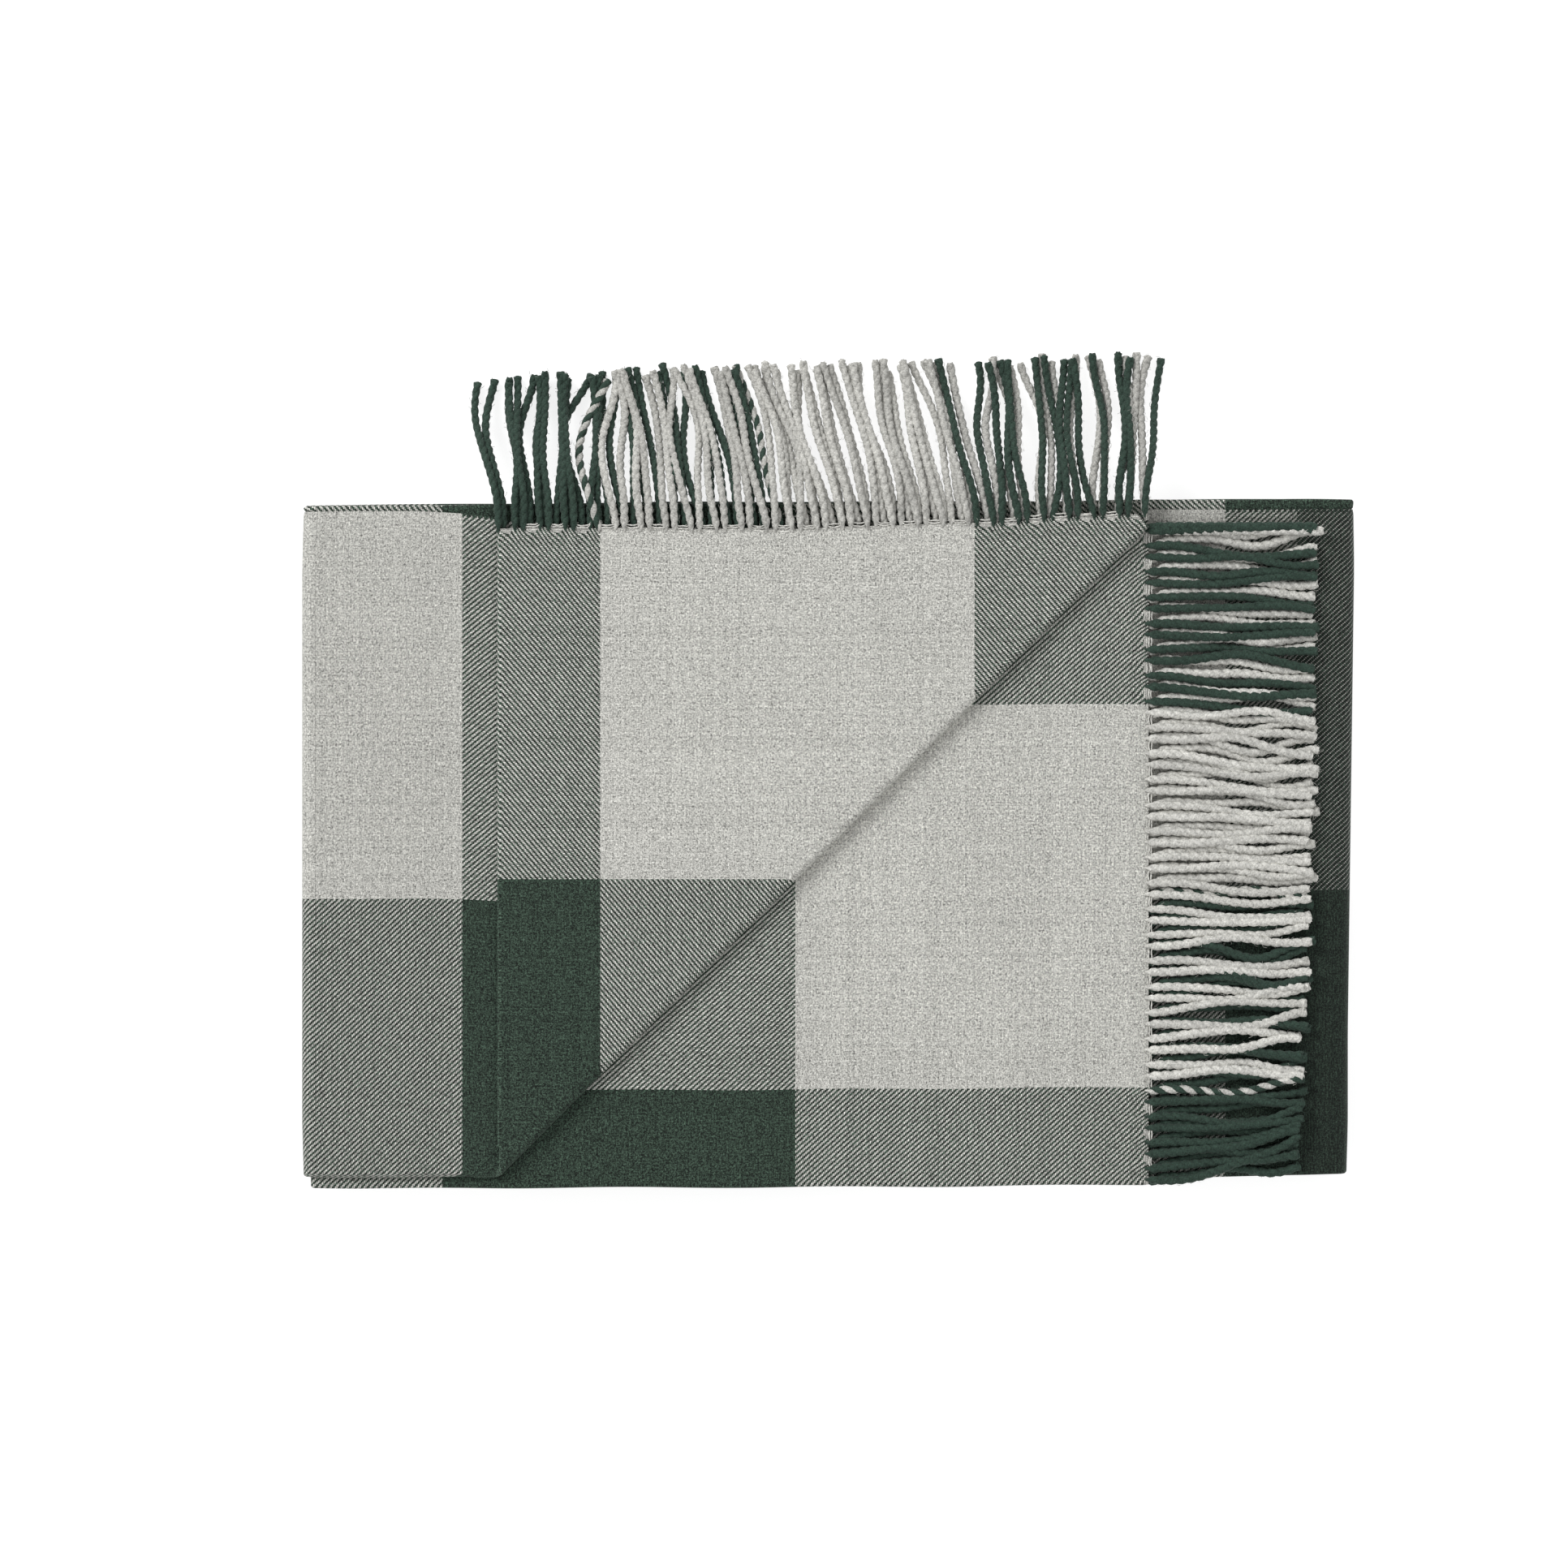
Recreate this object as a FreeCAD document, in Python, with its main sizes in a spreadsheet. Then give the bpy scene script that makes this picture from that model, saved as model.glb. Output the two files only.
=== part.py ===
import FreeCAD, Part
import math
import os
import re
import Sketcher
from FreeCAD import Placement, Rotation, Vector

# A fringed throw blanket, folded three times across its width and three times along its
# length, with the free corner of its two uppermost plies turned back on top of the pile.
# X runs along the pile, Y across it and Z up; the origin is on the table under its centre.

doc = FreeCAD.newDocument("FoldedThrow")
sizes = doc.addObject("Spreadsheet::Sheet", "Sizes")

# Sizes that can be set one by one, in millimetres.
DRIVING_SIZES = {
    "pile_length": 508.0,  # over the lengthwise folds
    "front_bend_reach": 164.4,  # centre line to the axis of the outer front bend
    "inner_bend_reach": 158.9,  # centre line to the axis of the inner front bend
    "back_bend_reach": 163.9,  # centre line to the axis of the back bend
    "top_selvedge_reach": 158.9,  # centre line to the selvedge of ply 1
    "under_selvedge_reach": 158.5,  # centre line to the selvedge of ply 4
    "top_end_setback": 100.1,  # end of the pile to the fringed end on top
    "under_end_setback": 83.8,  # end of the pile to the fringed end underneath
    "flap_setback": 6.2,  # selvedge of ply 1 to the hem of the turned-back corner
    "ply_thick": 1.45,
    "ply_gap": 0.3,
    "hinge_clear": 0.2,  # cloth to the axis that it turns about
    "fringe_length": 82.0,
    "strand_radius": 1.1,
    "strand_pitch": 6.25,
    "row_clear": 0.1,  # bottom fringe to the panel that lies on it
    "drape_clear": 2.0,  # back of the pile to where a draped strand turns down
    "drape_radius": 25.0,
}

# Sizes that follow from them.
DERIVED_SIZES = {
    "ply_pitch": "ply_thick + ply_gap",
    "bend_inner": "ply_gap / 2",
    "bend_outer": "bend_inner + ply_thick",
    "fold_reach": "pile_length / 2 - 3.5 * ply_pitch - ply_thick / 2",
    "slab_reach": "fold_reach - hinge_clear",
    "top_end": "pile_length / 2 - top_end_setback",
    "under_end": "pile_length / 2 - under_end_setback",
    "flap_back": "top_selvedge_reach - flap_setback",
    "flap_left": "top_end - flap_back - inner_bend_reach",
    "crease_clear": "hinge_clear * sqrt(2)",
    "crease_outer": "1.5 * ply_pitch + ply_thick / 2",
    "crease_inset": "crease_outer / sqrt(2)",
    "crease_length": "(flap_back + inner_bend_reach - crease_inset) * sqrt(2)",
    "under_row_pitch": "(4 * ply_pitch - row_clear - 2 * strand_radius) / 3",
    "drape_level": "15 * ply_pitch + ply_thick + ply_gap + strand_radius",
    "drape_run": "back_bend_reach + bend_outer + drape_clear - flap_back",
    "drape_slant": "fringe_length - drape_run",
    "drape_drop": "drape_level - strand_radius - ply_gap",
    "drape_angle": "asin(drape_drop / drape_slant)",
    "drape_tangent": "drape_radius * tan(drape_angle / 2)",
}

# Each panel as its name, its lowest level, its plies from the bottom up and its two ends.
PANELS = [
    ("bottom_panel", 0, (1, 2, 3, 4), "-slab_reach", "under_end"),
    ("third_panel", 4, (4, 3, 2, 1), "-slab_reach", "slab_reach"),
    ("second_panel", 8, (1, 2, 3, 4), "-slab_reach", "slab_reach"),
    ("top_panel", 12, (4, 3, 2, 1), "-slab_reach", "top_end"),
]

# The front and back edge of each ply.
PLY_EDGES = {
    1: ("-inner_bend_reach", "top_selvedge_reach"),
    2: ("-inner_bend_reach", "back_bend_reach"),
    3: ("-front_bend_reach", "back_bend_reach"),
    4: ("-front_bend_reach", "under_selvedge_reach"),
}

# Each crosswise bend as the two plies that it joins, its axis and the side that it bulges to.
BENDS = [
    ((1, 2), "-inner_bend_reach", "front"),
    ((2, 3), "back_bend_reach", "back"),
    ((3, 4), "-front_bend_reach", "front"),
]

# Each lengthwise fold as its name, the level above its axis, its side and the ply inside it.
LENGTHWISE_FOLDS = [
    ("left_fold_lower", 4, "left", 4),
    ("right_fold", 8, "right", 1),
    ("left_fold_upper", 12, "left", 4),
]

# How a bend that bulges to local +Y and runs along local +X is turned to face each side.
FACING = {
    "back": Rotation(),
    "front": Rotation(Vector(1, 0, 0), 180),
    "left": Rotation(Vector(0, 0, 1), 90),
    "right": Rotation(Vector(0, 0, 1), -90),
    "front_right": Rotation(Vector(0, 0, 1), -135),
}

FLAP_LEVEL = 16
FLAP_PLIES = (1, 2)
HALF_TURN = math.pi / 2
subparts = []


def fill_sheet():
    """Write every size into the sheet under its own name."""
    rows = list(DRIVING_SIZES.items()) + [(name, "=" + text) for name, text in DERIVED_SIZES.items()]
    for row, (name, content) in enumerate(rows, start=1):
        sizes.set(f"A{row}", name)
        sizes.set(f"B{row}", str(content))
        sizes.setAlias(f"B{row}", name)
    doc.recompute()


def linked(formula):
    """Point every size named in a formula at the sheet."""
    names = set(DRIVING_SIZES) | set(DERIVED_SIZES)
    return re.sub(r"[a-z_]+", lambda word: f"Sizes.{word[0]}" if word[0] in names else word[0], formula)


def value(formula):
    """Work out a formula of the sheet's sizes as a plain number."""
    result = sizes.evalExpression(linked(formula))
    return float(getattr(result, "Value", result))


def new_body(name, base, turn=Rotation()):
    """Start a sub-part whose origin sits at three formulas."""
    body = doc.addObject("PartDesign::Body", name)
    body.Label = name
    body.AllowCompound = True
    body.Placement = Placement(Vector(*[value(formula) for formula in base]), turn)
    for axis, formula in zip("xyz", base):
        body.setExpression(f"Placement.Base.{axis}", linked(formula))
    subparts.append(body)
    return body


def origin_feature(body, role):
    """Find one of a body's own origin planes or axes."""
    return next(feature for feature in body.Origin.OriginFeatures if feature.Role == role)


def new_sketch(body, plane, name):
    """Attach a sketch to one of a body's origin planes."""
    sketch = body.newObject("Sketcher::SketchObject", f"{body.Name}_{name}")
    sketch.AttachmentSupport = (origin_feature(body, plane), [""])
    sketch.MapMode = "FlatFace"
    return sketch


def set_size(sketch, kind, *places, formula):
    """Add one dimension to a sketch and bind it to a formula."""
    index = sketch.addConstraint(Sketcher.Constraint(kind, *places, value(formula)))
    sketch.setExpression(f"Constraints[{index}]", linked(formula))


def set_point(sketch, edge, end, across, up):
    """Hold one end of an edge at two formulas from the sketch's origin."""
    set_size(sketch, "DistanceX", -1, 1, edge, end, formula=across)
    set_size(sketch, "DistanceY", -1, 1, edge, end, formula=up)


def pad(body, sketch, formula):
    """Extrude a sketch by a formula."""
    feature = body.newObject("PartDesign::Pad", f"{body.Name}_pad")
    feature.Profile = sketch
    feature.setExpression("Length", linked(formula))
    body.Tip = feature
    return feature


def flat_ply(name, level, corners):
    """Make one flat ply of cloth from its corners, on its level of the pile."""
    body = new_body(name, ("0", "0", f"{level} * ply_pitch"))
    sketch = new_sketch(body, "XY_Plane", "outline")
    points = [Vector(value(across), value(up), 0) for across, up in corners]
    for start, end in zip(points, points[1:] + points[:1]):
        sketch.addGeometry(Part.LineSegment(start, end), False)
    for edge, (across, up) in enumerate(corners):
        sketch.addConstraint(Sketcher.Constraint("Coincident", edge, 2, (edge + 1) % len(corners), 1))
        set_point(sketch, edge, 1, across, up)
    pad(body, sketch, "ply_thick")


def bend(name, base, side, inner, outer, length):
    """Make a half-round bend of cloth between two radii, along one side of the pile."""
    body = new_body(name, base, FACING[side])
    sketch = new_sketch(body, "YZ_Plane", "section")
    upright = Vector(0, 0, 1)
    for radius in (inner, outer):
        circle = Part.Circle(Vector(), upright, value(radius))
        arc = sketch.addGeometry(Part.ArcOfCircle(circle, -HALF_TURN, HALF_TURN), False)
        sketch.addConstraint(Sketcher.Constraint("Coincident", arc, 3, -1, 1))
        sketch.addConstraint(Sketcher.Constraint("PointOnObject", arc, 1, -2))
        sketch.addConstraint(Sketcher.Constraint("PointOnObject", arc, 2, -2))
        set_size(sketch, "Radius", arc, formula=radius)
    for end, sign in ((1, -1), (2, 1)):
        near = Vector(0, sign * value(inner), 0)
        far = Vector(0, sign * value(outer), 0)
        line = sketch.addGeometry(Part.LineSegment(near, far), False)
        sketch.addConstraint(Sketcher.Constraint("Coincident", line, 1, 0, end))
        sketch.addConstraint(Sketcher.Constraint("Coincident", line, 2, 1, end))
    pad(body, sketch, length)


def strand_section(body, plane):
    """Draw a strand's round section at a body's origin."""
    sketch = new_sketch(body, plane, "section")
    circle = sketch.addGeometry(Part.Circle(Vector(), Vector(0, 0, 1), value("strand_radius")), False)
    sketch.addConstraint(Sketcher.Constraint("Coincident", circle, 3, -1, 1))
    set_size(sketch, "Radius", circle, formula="strand_radius")
    return sketch


def repeat_strand(body, strand, axis, span):
    """Repeat a strand against an axis at the strand pitch, as often as a span has room for."""
    row = body.newObject("PartDesign::LinearPattern", f"{body.Name}_row")
    row.Originals = [strand]
    row.Direction = (origin_feature(body, axis), [""])
    row.Reversed = True
    row.Mode = "Spacing"
    row.setExpression("Offset", linked("strand_pitch"))
    row.setExpression("Occurrences", linked(f"floor(({span}) / strand_pitch) + 1"))
    body.Tip = row


def straight_fringe(panel, ply, end, height, offset):
    """Lay a ply's row of straight strands from a cloth end; offset is its first strand's, in pitches."""
    first = f"flap_back + {offset} * strand_pitch"
    front, _ = PLY_EDGES[ply]
    body = new_body(f"{panel}_fringe_ply_{ply}", (end, first, height))
    strand = pad(body, strand_section(body, "YZ_Plane"), "fringe_length")
    repeat_strand(body, strand, "Y_Axis", f"{first} - ({front})")


def drape_path(body):
    """Draw a draped strand's path: level to the back of the pile, then down in an easy curve."""
    sketch = new_sketch(body, "YZ_Plane", "path")
    angle = math.radians(value("drape_angle"))
    run, slant = value("drape_run"), value("drape_slant")
    radius, tangent = value("drape_radius"), value("drape_tangent")
    down = Vector(math.cos(angle), -math.sin(angle), 0)
    corner = Vector(run, 0, 0)
    leave = Vector(run - tangent, 0, 0)
    centre = leave - Vector(0, radius, 0)
    circle = Part.Circle(centre, Vector(0, 0, 1), radius)
    level = sketch.addGeometry(Part.LineSegment(Vector(), leave), False)
    turn = sketch.addGeometry(Part.ArcOfCircle(circle, HALF_TURN - angle, HALF_TURN), False)
    fall = sketch.addGeometry(Part.LineSegment(corner + down * tangent, corner + down * slant), False)
    sketch.addConstraint(Sketcher.Constraint("Coincident", level, 1, -1, 1))
    sketch.addConstraint(Sketcher.Constraint("Horizontal", level))
    sketch.addConstraint(Sketcher.Constraint("Tangent", level, 2, turn, 2))
    sketch.addConstraint(Sketcher.Constraint("Tangent", turn, 1, fall, 1))
    set_size(sketch, "DistanceX", -1, 1, level, 2, formula="drape_run - drape_tangent")
    set_size(sketch, "Radius", turn, formula="drape_radius")
    set_point(sketch, fall, 2, "drape_run + drape_slant * cos(drape_angle)", "-drape_drop")
    return sketch


def draped_fringe(name, row, offset):
    """Hang a row of strands from the turned-back hem over the back of the pile."""
    first = f"top_end - {offset} * strand_pitch"
    body = new_body(name, (first, "flap_back", f"drape_level + {row} * ply_pitch"))
    strand = body.newObject("PartDesign::AdditivePipe", f"{name}_strand")
    strand.Profile = strand_section(body, "XZ_Plane")
    strand.Spine = drape_path(body)
    repeat_strand(body, strand, "X_Axis", f"{first} - flap_left")


def make_panels():
    """Make the flat plies of the four panels and the crosswise bends that join them."""
    for panel, lowest, plies, left, right in PANELS:
        for level, ply in enumerate(plies, start=lowest):
            front, back = PLY_EDGES[ply]
            if panel == "top_panel" and ply in FLAP_PLIES:
                corners = [
                    (left, front),
                    ("flap_left - crease_clear", front),
                    (right, "flap_back + crease_clear"),
                    (right, back),
                    (left, back),
                ]
            else:
                corners = [(left, front), (right, front), (right, back), (left, back)]
            flat_ply(f"{panel}_ply_{ply}", level, corners)
        for pair, axis, side in BENDS:
            level = lowest + min(plies.index(ply) for ply in pair)
            end = right
            if panel == "top_panel" and pair == FLAP_PLIES:
                end = "flap_left - crease_clear"
            base = (left, axis, f"({level} + 1) * ply_pitch - ply_gap / 2")
            name = f"{panel}_bend_{pair[0]}_{pair[1]}"
            bend(name, base, side, "bend_inner", "bend_outer", f"{end} - ({left})")


def make_lengthwise_folds():
    """Make the half-round shell of each ply at each lengthwise fold."""
    for fold, level, side, innermost in LENGTHWISE_FOLDS:
        height = f"{level} * ply_pitch - ply_gap / 2"
        for ply, (front, back) in PLY_EDGES.items():
            order = abs(ply - innermost)
            inner = f"{order} * ply_pitch + bend_inner"
            if side == "left":
                base = ("-fold_reach", front, height)
            else:
                base = ("fold_reach", back, height)
            bend(f"{fold}_ply_{ply}", base, side, inner, f"{inner} + ply_thick", f"{back} - ({front})")


def make_corner_flap():
    """Make the turned-back corner: its two plies, the bend at its edge and its diagonal crease."""
    triangle = [
        ("flap_left", "crease_clear - inner_bend_reach"),
        ("top_end - crease_clear", "flap_back"),
        ("flap_left", "flap_back"),
    ]
    height = f"{FLAP_LEVEL} * ply_pitch - ply_gap / 2"
    for order, ply in enumerate(FLAP_PLIES):
        flat_ply(f"corner_flap_ply_{ply}", FLAP_LEVEL + order, triangle)
        inner = f"{order} * ply_pitch + bend_inner"
        base = ("top_end - crease_inset", "flap_back - crease_inset", height)
        bend(f"corner_crease_ply_{ply}", base, "front_right", inner, f"{inner} + ply_thick", "crease_length")
    base = ("flap_left", "crease_clear - inner_bend_reach", f"{FLAP_LEVEL + 1} * ply_pitch - ply_gap / 2")
    length = "flap_back + inner_bend_reach - crease_clear"
    bend("corner_flap_bend_1_2", base, "left", "bend_inner", "bend_outer", length)


def make_fringe():
    """Make the fringe rows: two over the flap's hem, two on top and four under the pile."""
    draped_fringe("flap_fringe_ply_1", 0, 0.5)
    draped_fringe("flap_fringe_ply_2", 1, 1)
    rest = "12 * ply_pitch + strand_radius"
    straight_fringe("top", 4, "top_end", rest, 0)
    straight_fringe("top", 3, "top_end", f"{rest} + ply_pitch", 0.5)
    for row, ply in enumerate(PLY_EDGES):
        height = f"strand_radius + {row} * under_row_pitch"
        straight_fringe("bottom", ply, "under_end", height, row % 2 / 2)


def check():
    """Stop if anything in the document failed or any sub-part isn't sound."""
    for item in doc.Objects:
        if {"Invalid", "Error"} & set(item.State):
            raise RuntimeError(f"{item.Name} failed: {item.State}")
    for body in subparts:
        if body.Shape.isNull() or not body.Shape.isValid():
            raise RuntimeError(f"{body.Name} has no sound shape")


def report_flat_sizes():
    """Print the cloth's flat width and length, measured along the middle of its thickness."""
    half_round = math.pi * value("ply_pitch") / 2
    plies = sum(value(f"{back} - ({front})") for front, back in PLY_EDGES.values())
    panels = sum(value(f"{right} - ({left})") for _, _, _, left, right in PANELS)
    folds = len(LENGTHWISE_FOLDS) * (4 * half_round + 2 * value("hinge_clear"))
    print(f"cloth {plies + len(BENDS) * half_round:.0f} x {panels + folds:.0f} mm flat")


fill_sheet()
make_panels()
make_lengthwise_folds()
make_corner_flap()
make_fringe()
doc.recompute()
check()
report_flat_sizes()
os.makedirs("parts", exist_ok=True)
for subpart in subparts:
    subpart.Shape.exportStep(f"parts/{subpart.Label}.step")
print(len(subparts), "sub-parts")
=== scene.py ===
"""A checked, fringed throw blanket, folded into a pile with one corner of its top turned back.

Lengths in the classes are in millimetres, along X for the pile's length, Y across it and Z up,
as in the design; meshes are written in metres. Cloth coordinates are w across the cloth, from
the selvedge of ply 1 to the selvedge of ply 4, and u along it, from the fringed end on top.
"""

import logging
import math
from dataclasses import dataclass, field
from enum import Enum
from typing import Any, Callable, Optional, Sequence, Union

import bpy
import numpy as np
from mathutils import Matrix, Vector

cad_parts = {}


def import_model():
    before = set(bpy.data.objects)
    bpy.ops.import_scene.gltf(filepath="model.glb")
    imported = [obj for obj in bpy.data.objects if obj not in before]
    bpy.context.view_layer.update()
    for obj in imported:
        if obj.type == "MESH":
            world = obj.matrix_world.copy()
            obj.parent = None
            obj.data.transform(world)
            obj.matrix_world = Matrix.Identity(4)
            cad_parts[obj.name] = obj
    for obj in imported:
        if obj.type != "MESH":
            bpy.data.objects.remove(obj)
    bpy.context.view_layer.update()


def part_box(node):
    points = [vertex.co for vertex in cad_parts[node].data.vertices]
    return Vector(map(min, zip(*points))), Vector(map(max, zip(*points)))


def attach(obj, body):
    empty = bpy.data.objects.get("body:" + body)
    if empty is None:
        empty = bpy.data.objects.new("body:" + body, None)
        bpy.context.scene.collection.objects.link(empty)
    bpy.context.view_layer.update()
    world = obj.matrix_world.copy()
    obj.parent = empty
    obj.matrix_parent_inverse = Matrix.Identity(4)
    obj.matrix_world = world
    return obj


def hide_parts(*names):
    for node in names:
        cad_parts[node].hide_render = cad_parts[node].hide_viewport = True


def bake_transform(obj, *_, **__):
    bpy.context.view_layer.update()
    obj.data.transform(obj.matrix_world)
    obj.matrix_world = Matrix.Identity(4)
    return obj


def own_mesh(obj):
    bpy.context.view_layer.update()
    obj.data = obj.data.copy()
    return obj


MM = 0.001
TAU = 2 * math.pi
log = logging.getLogger("throw")

Number = Union[float, int]


# ---------------------------------------------------------------- helpers for node trees


class Wire:
    """One node socket that Python's operators work on, each adding a Math node."""

    def __init__(self, graph: "Graph", socket: bpy.types.NodeSocket) -> None:
        """Keep the socket and the graph that it belongs to."""
        self.graph = graph
        self.socket = socket

    def _do(self, operation: str, *values: Union["Wire", Number]) -> "Wire":
        """Add one Math node on these values."""
        return self.graph.math(operation, *values)

    def __add__(self, other: Union["Wire", Number]) -> "Wire":
        """Sum."""
        return self._do("ADD", self, other)

    def __radd__(self, other: Number) -> "Wire":
        """Sum with a number on the left."""
        return self._do("ADD", other, self)

    def __sub__(self, other: Union["Wire", Number]) -> "Wire":
        """Difference."""
        return self._do("SUBTRACT", self, other)

    def __rsub__(self, other: Number) -> "Wire":
        """Difference from a number."""
        return self._do("SUBTRACT", other, self)

    def __mul__(self, other: Union["Wire", Number]) -> "Wire":
        """Product."""
        return self._do("MULTIPLY", self, other)

    def __rmul__(self, other: Number) -> "Wire":
        """Product with a number on the left."""
        return self._do("MULTIPLY", other, self)

    def __truediv__(self, other: Union["Wire", Number]) -> "Wire":
        """Quotient."""
        return self._do("DIVIDE", self, other)

    def __mod__(self, other: Union["Wire", Number]) -> "Wire":
        """Remainder, never negative."""
        return self._do("FLOORED_MODULO", self, other)

    def __lt__(self, other: Union["Wire", Number]) -> "Wire":
        """1 where this is below the other value."""
        return self._do("LESS_THAN", self, other)

    def __gt__(self, other: Union["Wire", Number]) -> "Wire":
        """1 where this is above the other value."""
        return self._do("GREATER_THAN", self, other)

    def floor(self) -> "Wire":
        """Whole part."""
        return self._do("FLOOR", self)

    def part(self) -> "Wire":
        """Part after the whole number."""
        return self._do("FRACT", self)

    def sine(self) -> "Wire":
        """Sine of an angle in radians."""
        return self._do("SINE", self)

    def raised_cosine(self) -> "Wire":
        """Half of one plus the cosine of an angle in radians."""
        return self._do("COSINE", self) * 0.5 + 0.5

    def step(self, low: float, high: float) -> "Wire":
        """A smooth step from 0 at low to 1 at high."""
        settings = {"interpolation_type": "SMOOTHSTEP"}
        values = {0: self, 1: low, 2: high}
        return self.graph.wire(self.graph.node("ShaderNodeMapRange", settings, values))

    def decay(self) -> "Wire":
        """e to the power of this value."""
        return self._do("EXPONENT", self)


Feed = Union[Wire, bpy.types.NodeSocket, Number, str, bool, Sequence[float], Any]


class Graph:
    """A node tree, of a material or of Geometry Nodes, with short ways to fill it."""

    def __init__(self, tree: bpy.types.NodeTree) -> None:
        """Keep the tree."""
        self.tree = tree

    def node(
        self,
        kind: str,
        settings: Optional[dict[str, Any]] = None,
        inputs: Optional[dict[Union[str, int], Feed]] = None,
    ) -> bpy.types.Node:
        """Add a node.

        Args:
            kind: the node's type.
            settings: its settings, set before its sockets.
            inputs: a value or a link for each socket, by name or number.

        Returns:
            The node.
        """
        made = self.tree.nodes.new(kind)
        for name, value in (settings or {}).items():
            setattr(made, name, value)
        for key, value in (inputs or {}).items():
            self.feed(made.inputs[key], value)
        return made

    def feed(self, socket: bpy.types.NodeSocket, value: Feed) -> None:
        """Link or set one socket.

        Args:
            socket: the socket to fill.
            value: a wire or socket to link, or a plain value.
        """
        if isinstance(value, Wire):
            self.tree.links.new(value.socket, socket)
        elif isinstance(value, bpy.types.NodeSocket):
            self.tree.links.new(value, socket)
        else:
            socket.default_value = value

    def wire(self, made: bpy.types.Node, key: Union[str, int] = 0) -> Wire:
        """One output of a node as a wire."""
        return Wire(self, made.outputs[key])

    def math(self, operation: str, *values: Union[Wire, Number]) -> Wire:
        """A Math node on up to three values."""
        settings = {"operation": operation}
        return self.wire(self.node("ShaderNodeMath", settings, dict(enumerate(values))))

    def pick(self, share: Union[Wire, Number], low: Feed, high: Feed) -> Wire:
        """A colour between two others.

        Args:
            share: 0 for low and 1 for high.
            low: the first colour.
            high: the second colour.

        Returns:
            The mixed colour.
        """
        settings = {"data_type": "RGBA"}
        return self.wire(self.node("ShaderNodeMix", settings, {0: share, 6: low, 7: high}), 2)

    def times(self, colour: Feed, factor: Wire) -> Wire:
        """A colour made lighter or darker by a factor."""
        settings = {"operation": "SCALE"}
        return self.wire(self.node("ShaderNodeVectorMath", settings, {0: colour, 3: factor}))

    def joined(self, x: Feed, y: Feed, z: Feed = 0.0) -> Wire:
        """A vector from its three parts."""
        return self.wire(self.node("ShaderNodeCombineXYZ", None, {0: x, 1: y, 2: z}))

    def grain(self, where: Wire, scale: float, detail: float = 2.0, rough: float = 0.6) -> Wire:
        """Noise from 0 to 1.

        Args:
            where: the place as a vector.
            scale: how fine it is.
            detail: its octaves.
            rough: how strong its finer octaves are.

        Returns:
            The noise.
        """
        values = {"Vector": where, "Scale": scale, "Detail": detail, "Roughness": rough}
        return self.wire(self.node("ShaderNodeTexNoise", {"noise_dimensions": "3D"}, values), 0)

    def dice(self, where: Wire) -> Wire:
        """A random number from 0 to 1 for each whole number."""
        settings = {"noise_dimensions": "1D"}
        return self.wire(self.node("ShaderNodeTexWhiteNoise", settings, {"W": where}), 0)

    def feature(self, label: str) -> Wire:
        """A number that a shader reads from the mesh by its name."""
        return self.wire(self.node("ShaderNodeAttribute", {"attribute_name": label}), "Fac")

    def named(self, label: str) -> Wire:
        """A number that a geometry tree reads from its points by its name."""
        settings = {"data_type": "FLOAT"}
        return self.wire(self.node("GeometryNodeInputNamedAttribute", settings, {"Name": label}))

    def keep(self, shape: Wire, label: str, value: Union[Wire, Number]) -> Wire:
        """Store a number on every point of a shape.

        Args:
            shape: the shape in a geometry tree.
            label: the number's name.
            value: the number.

        Returns:
            The shape with the number on it.
        """
        settings = {"data_type": "FLOAT", "domain": "POINT"}
        values = {"Geometry": shape, "Name": label, "Value": value}
        return self.wire(self.node("GeometryNodeStoreNamedAttribute", settings, values))


@dataclass(frozen=True)
class Shade:
    """A colour in linear light."""

    red: float
    green: float
    blue: float

    def rgba(self) -> tuple[float, float, float, float]:
        """The colour as a socket takes it."""
        return (self.red, self.green, self.blue, 1.0)

    def rgb(self) -> tuple[float, float, float]:
        """The colour as a vector."""
        return (self.red, self.green, self.blue)


LIGHT_YARN = Shade(0.560, 0.556, 0.520)
GREEN_YARN = Shade(0.0268, 0.0442, 0.0318)


# ---------------------------------------------------------------- the cloth and the pile


@dataclass(frozen=True)
class PileFrame:
    """The pile's own sizes in millimetres, as its design nodes have them."""

    thick: float
    pitch: float
    reach: float
    top_end: float
    under_end: float
    flap_back: float
    flap_left: float
    inner_front: float
    outer_front: float
    back: float
    selvedge_1: float
    selvedge_4: float

    @classmethod
    def read(cls) -> "PileFrame":
        """Read the sizes from the boxes of the design nodes.

        Returns:
            The sizes.
        """
        first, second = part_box("bottom_panel_ply_1"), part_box("bottom_panel_ply_2")
        top_1, top_2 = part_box("top_panel_ply_1"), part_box("top_panel_ply_2")
        top_4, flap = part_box("top_panel_ply_4"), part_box("corner_flap_ply_2")
        return cls(
            thick=(first[1].z - first[0].z) / MM,
            pitch=(second[0].z - first[0].z) / MM,
            reach=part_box("right_fold_ply_1")[0].x / MM,
            top_end=top_4[1].x / MM,
            under_end=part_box("bottom_panel_ply_4")[1].x / MM,
            flap_back=flap[1].y / MM,
            flap_left=flap[0].x / MM,
            inner_front=-top_2[0].y / MM,
            outer_front=-top_4[0].y / MM,
            back=top_2[1].y / MM,
            selvedge_1=top_1[1].y / MM,
            selvedge_4=top_4[1].y / MM,
        )

    def level(self, number: float) -> float:
        """Height of the middle of the ply that lies at this level."""
        return number * self.pitch + self.thick / 2

    def seam(self, number: float) -> float:
        """Height of the axis between two levels."""
        return number * self.pitch - (self.pitch - self.thick) / 2

    @property
    def turn(self) -> float:
        """Length of cloth in the half turn between two plies."""
        return math.pi * self.pitch / 2


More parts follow.
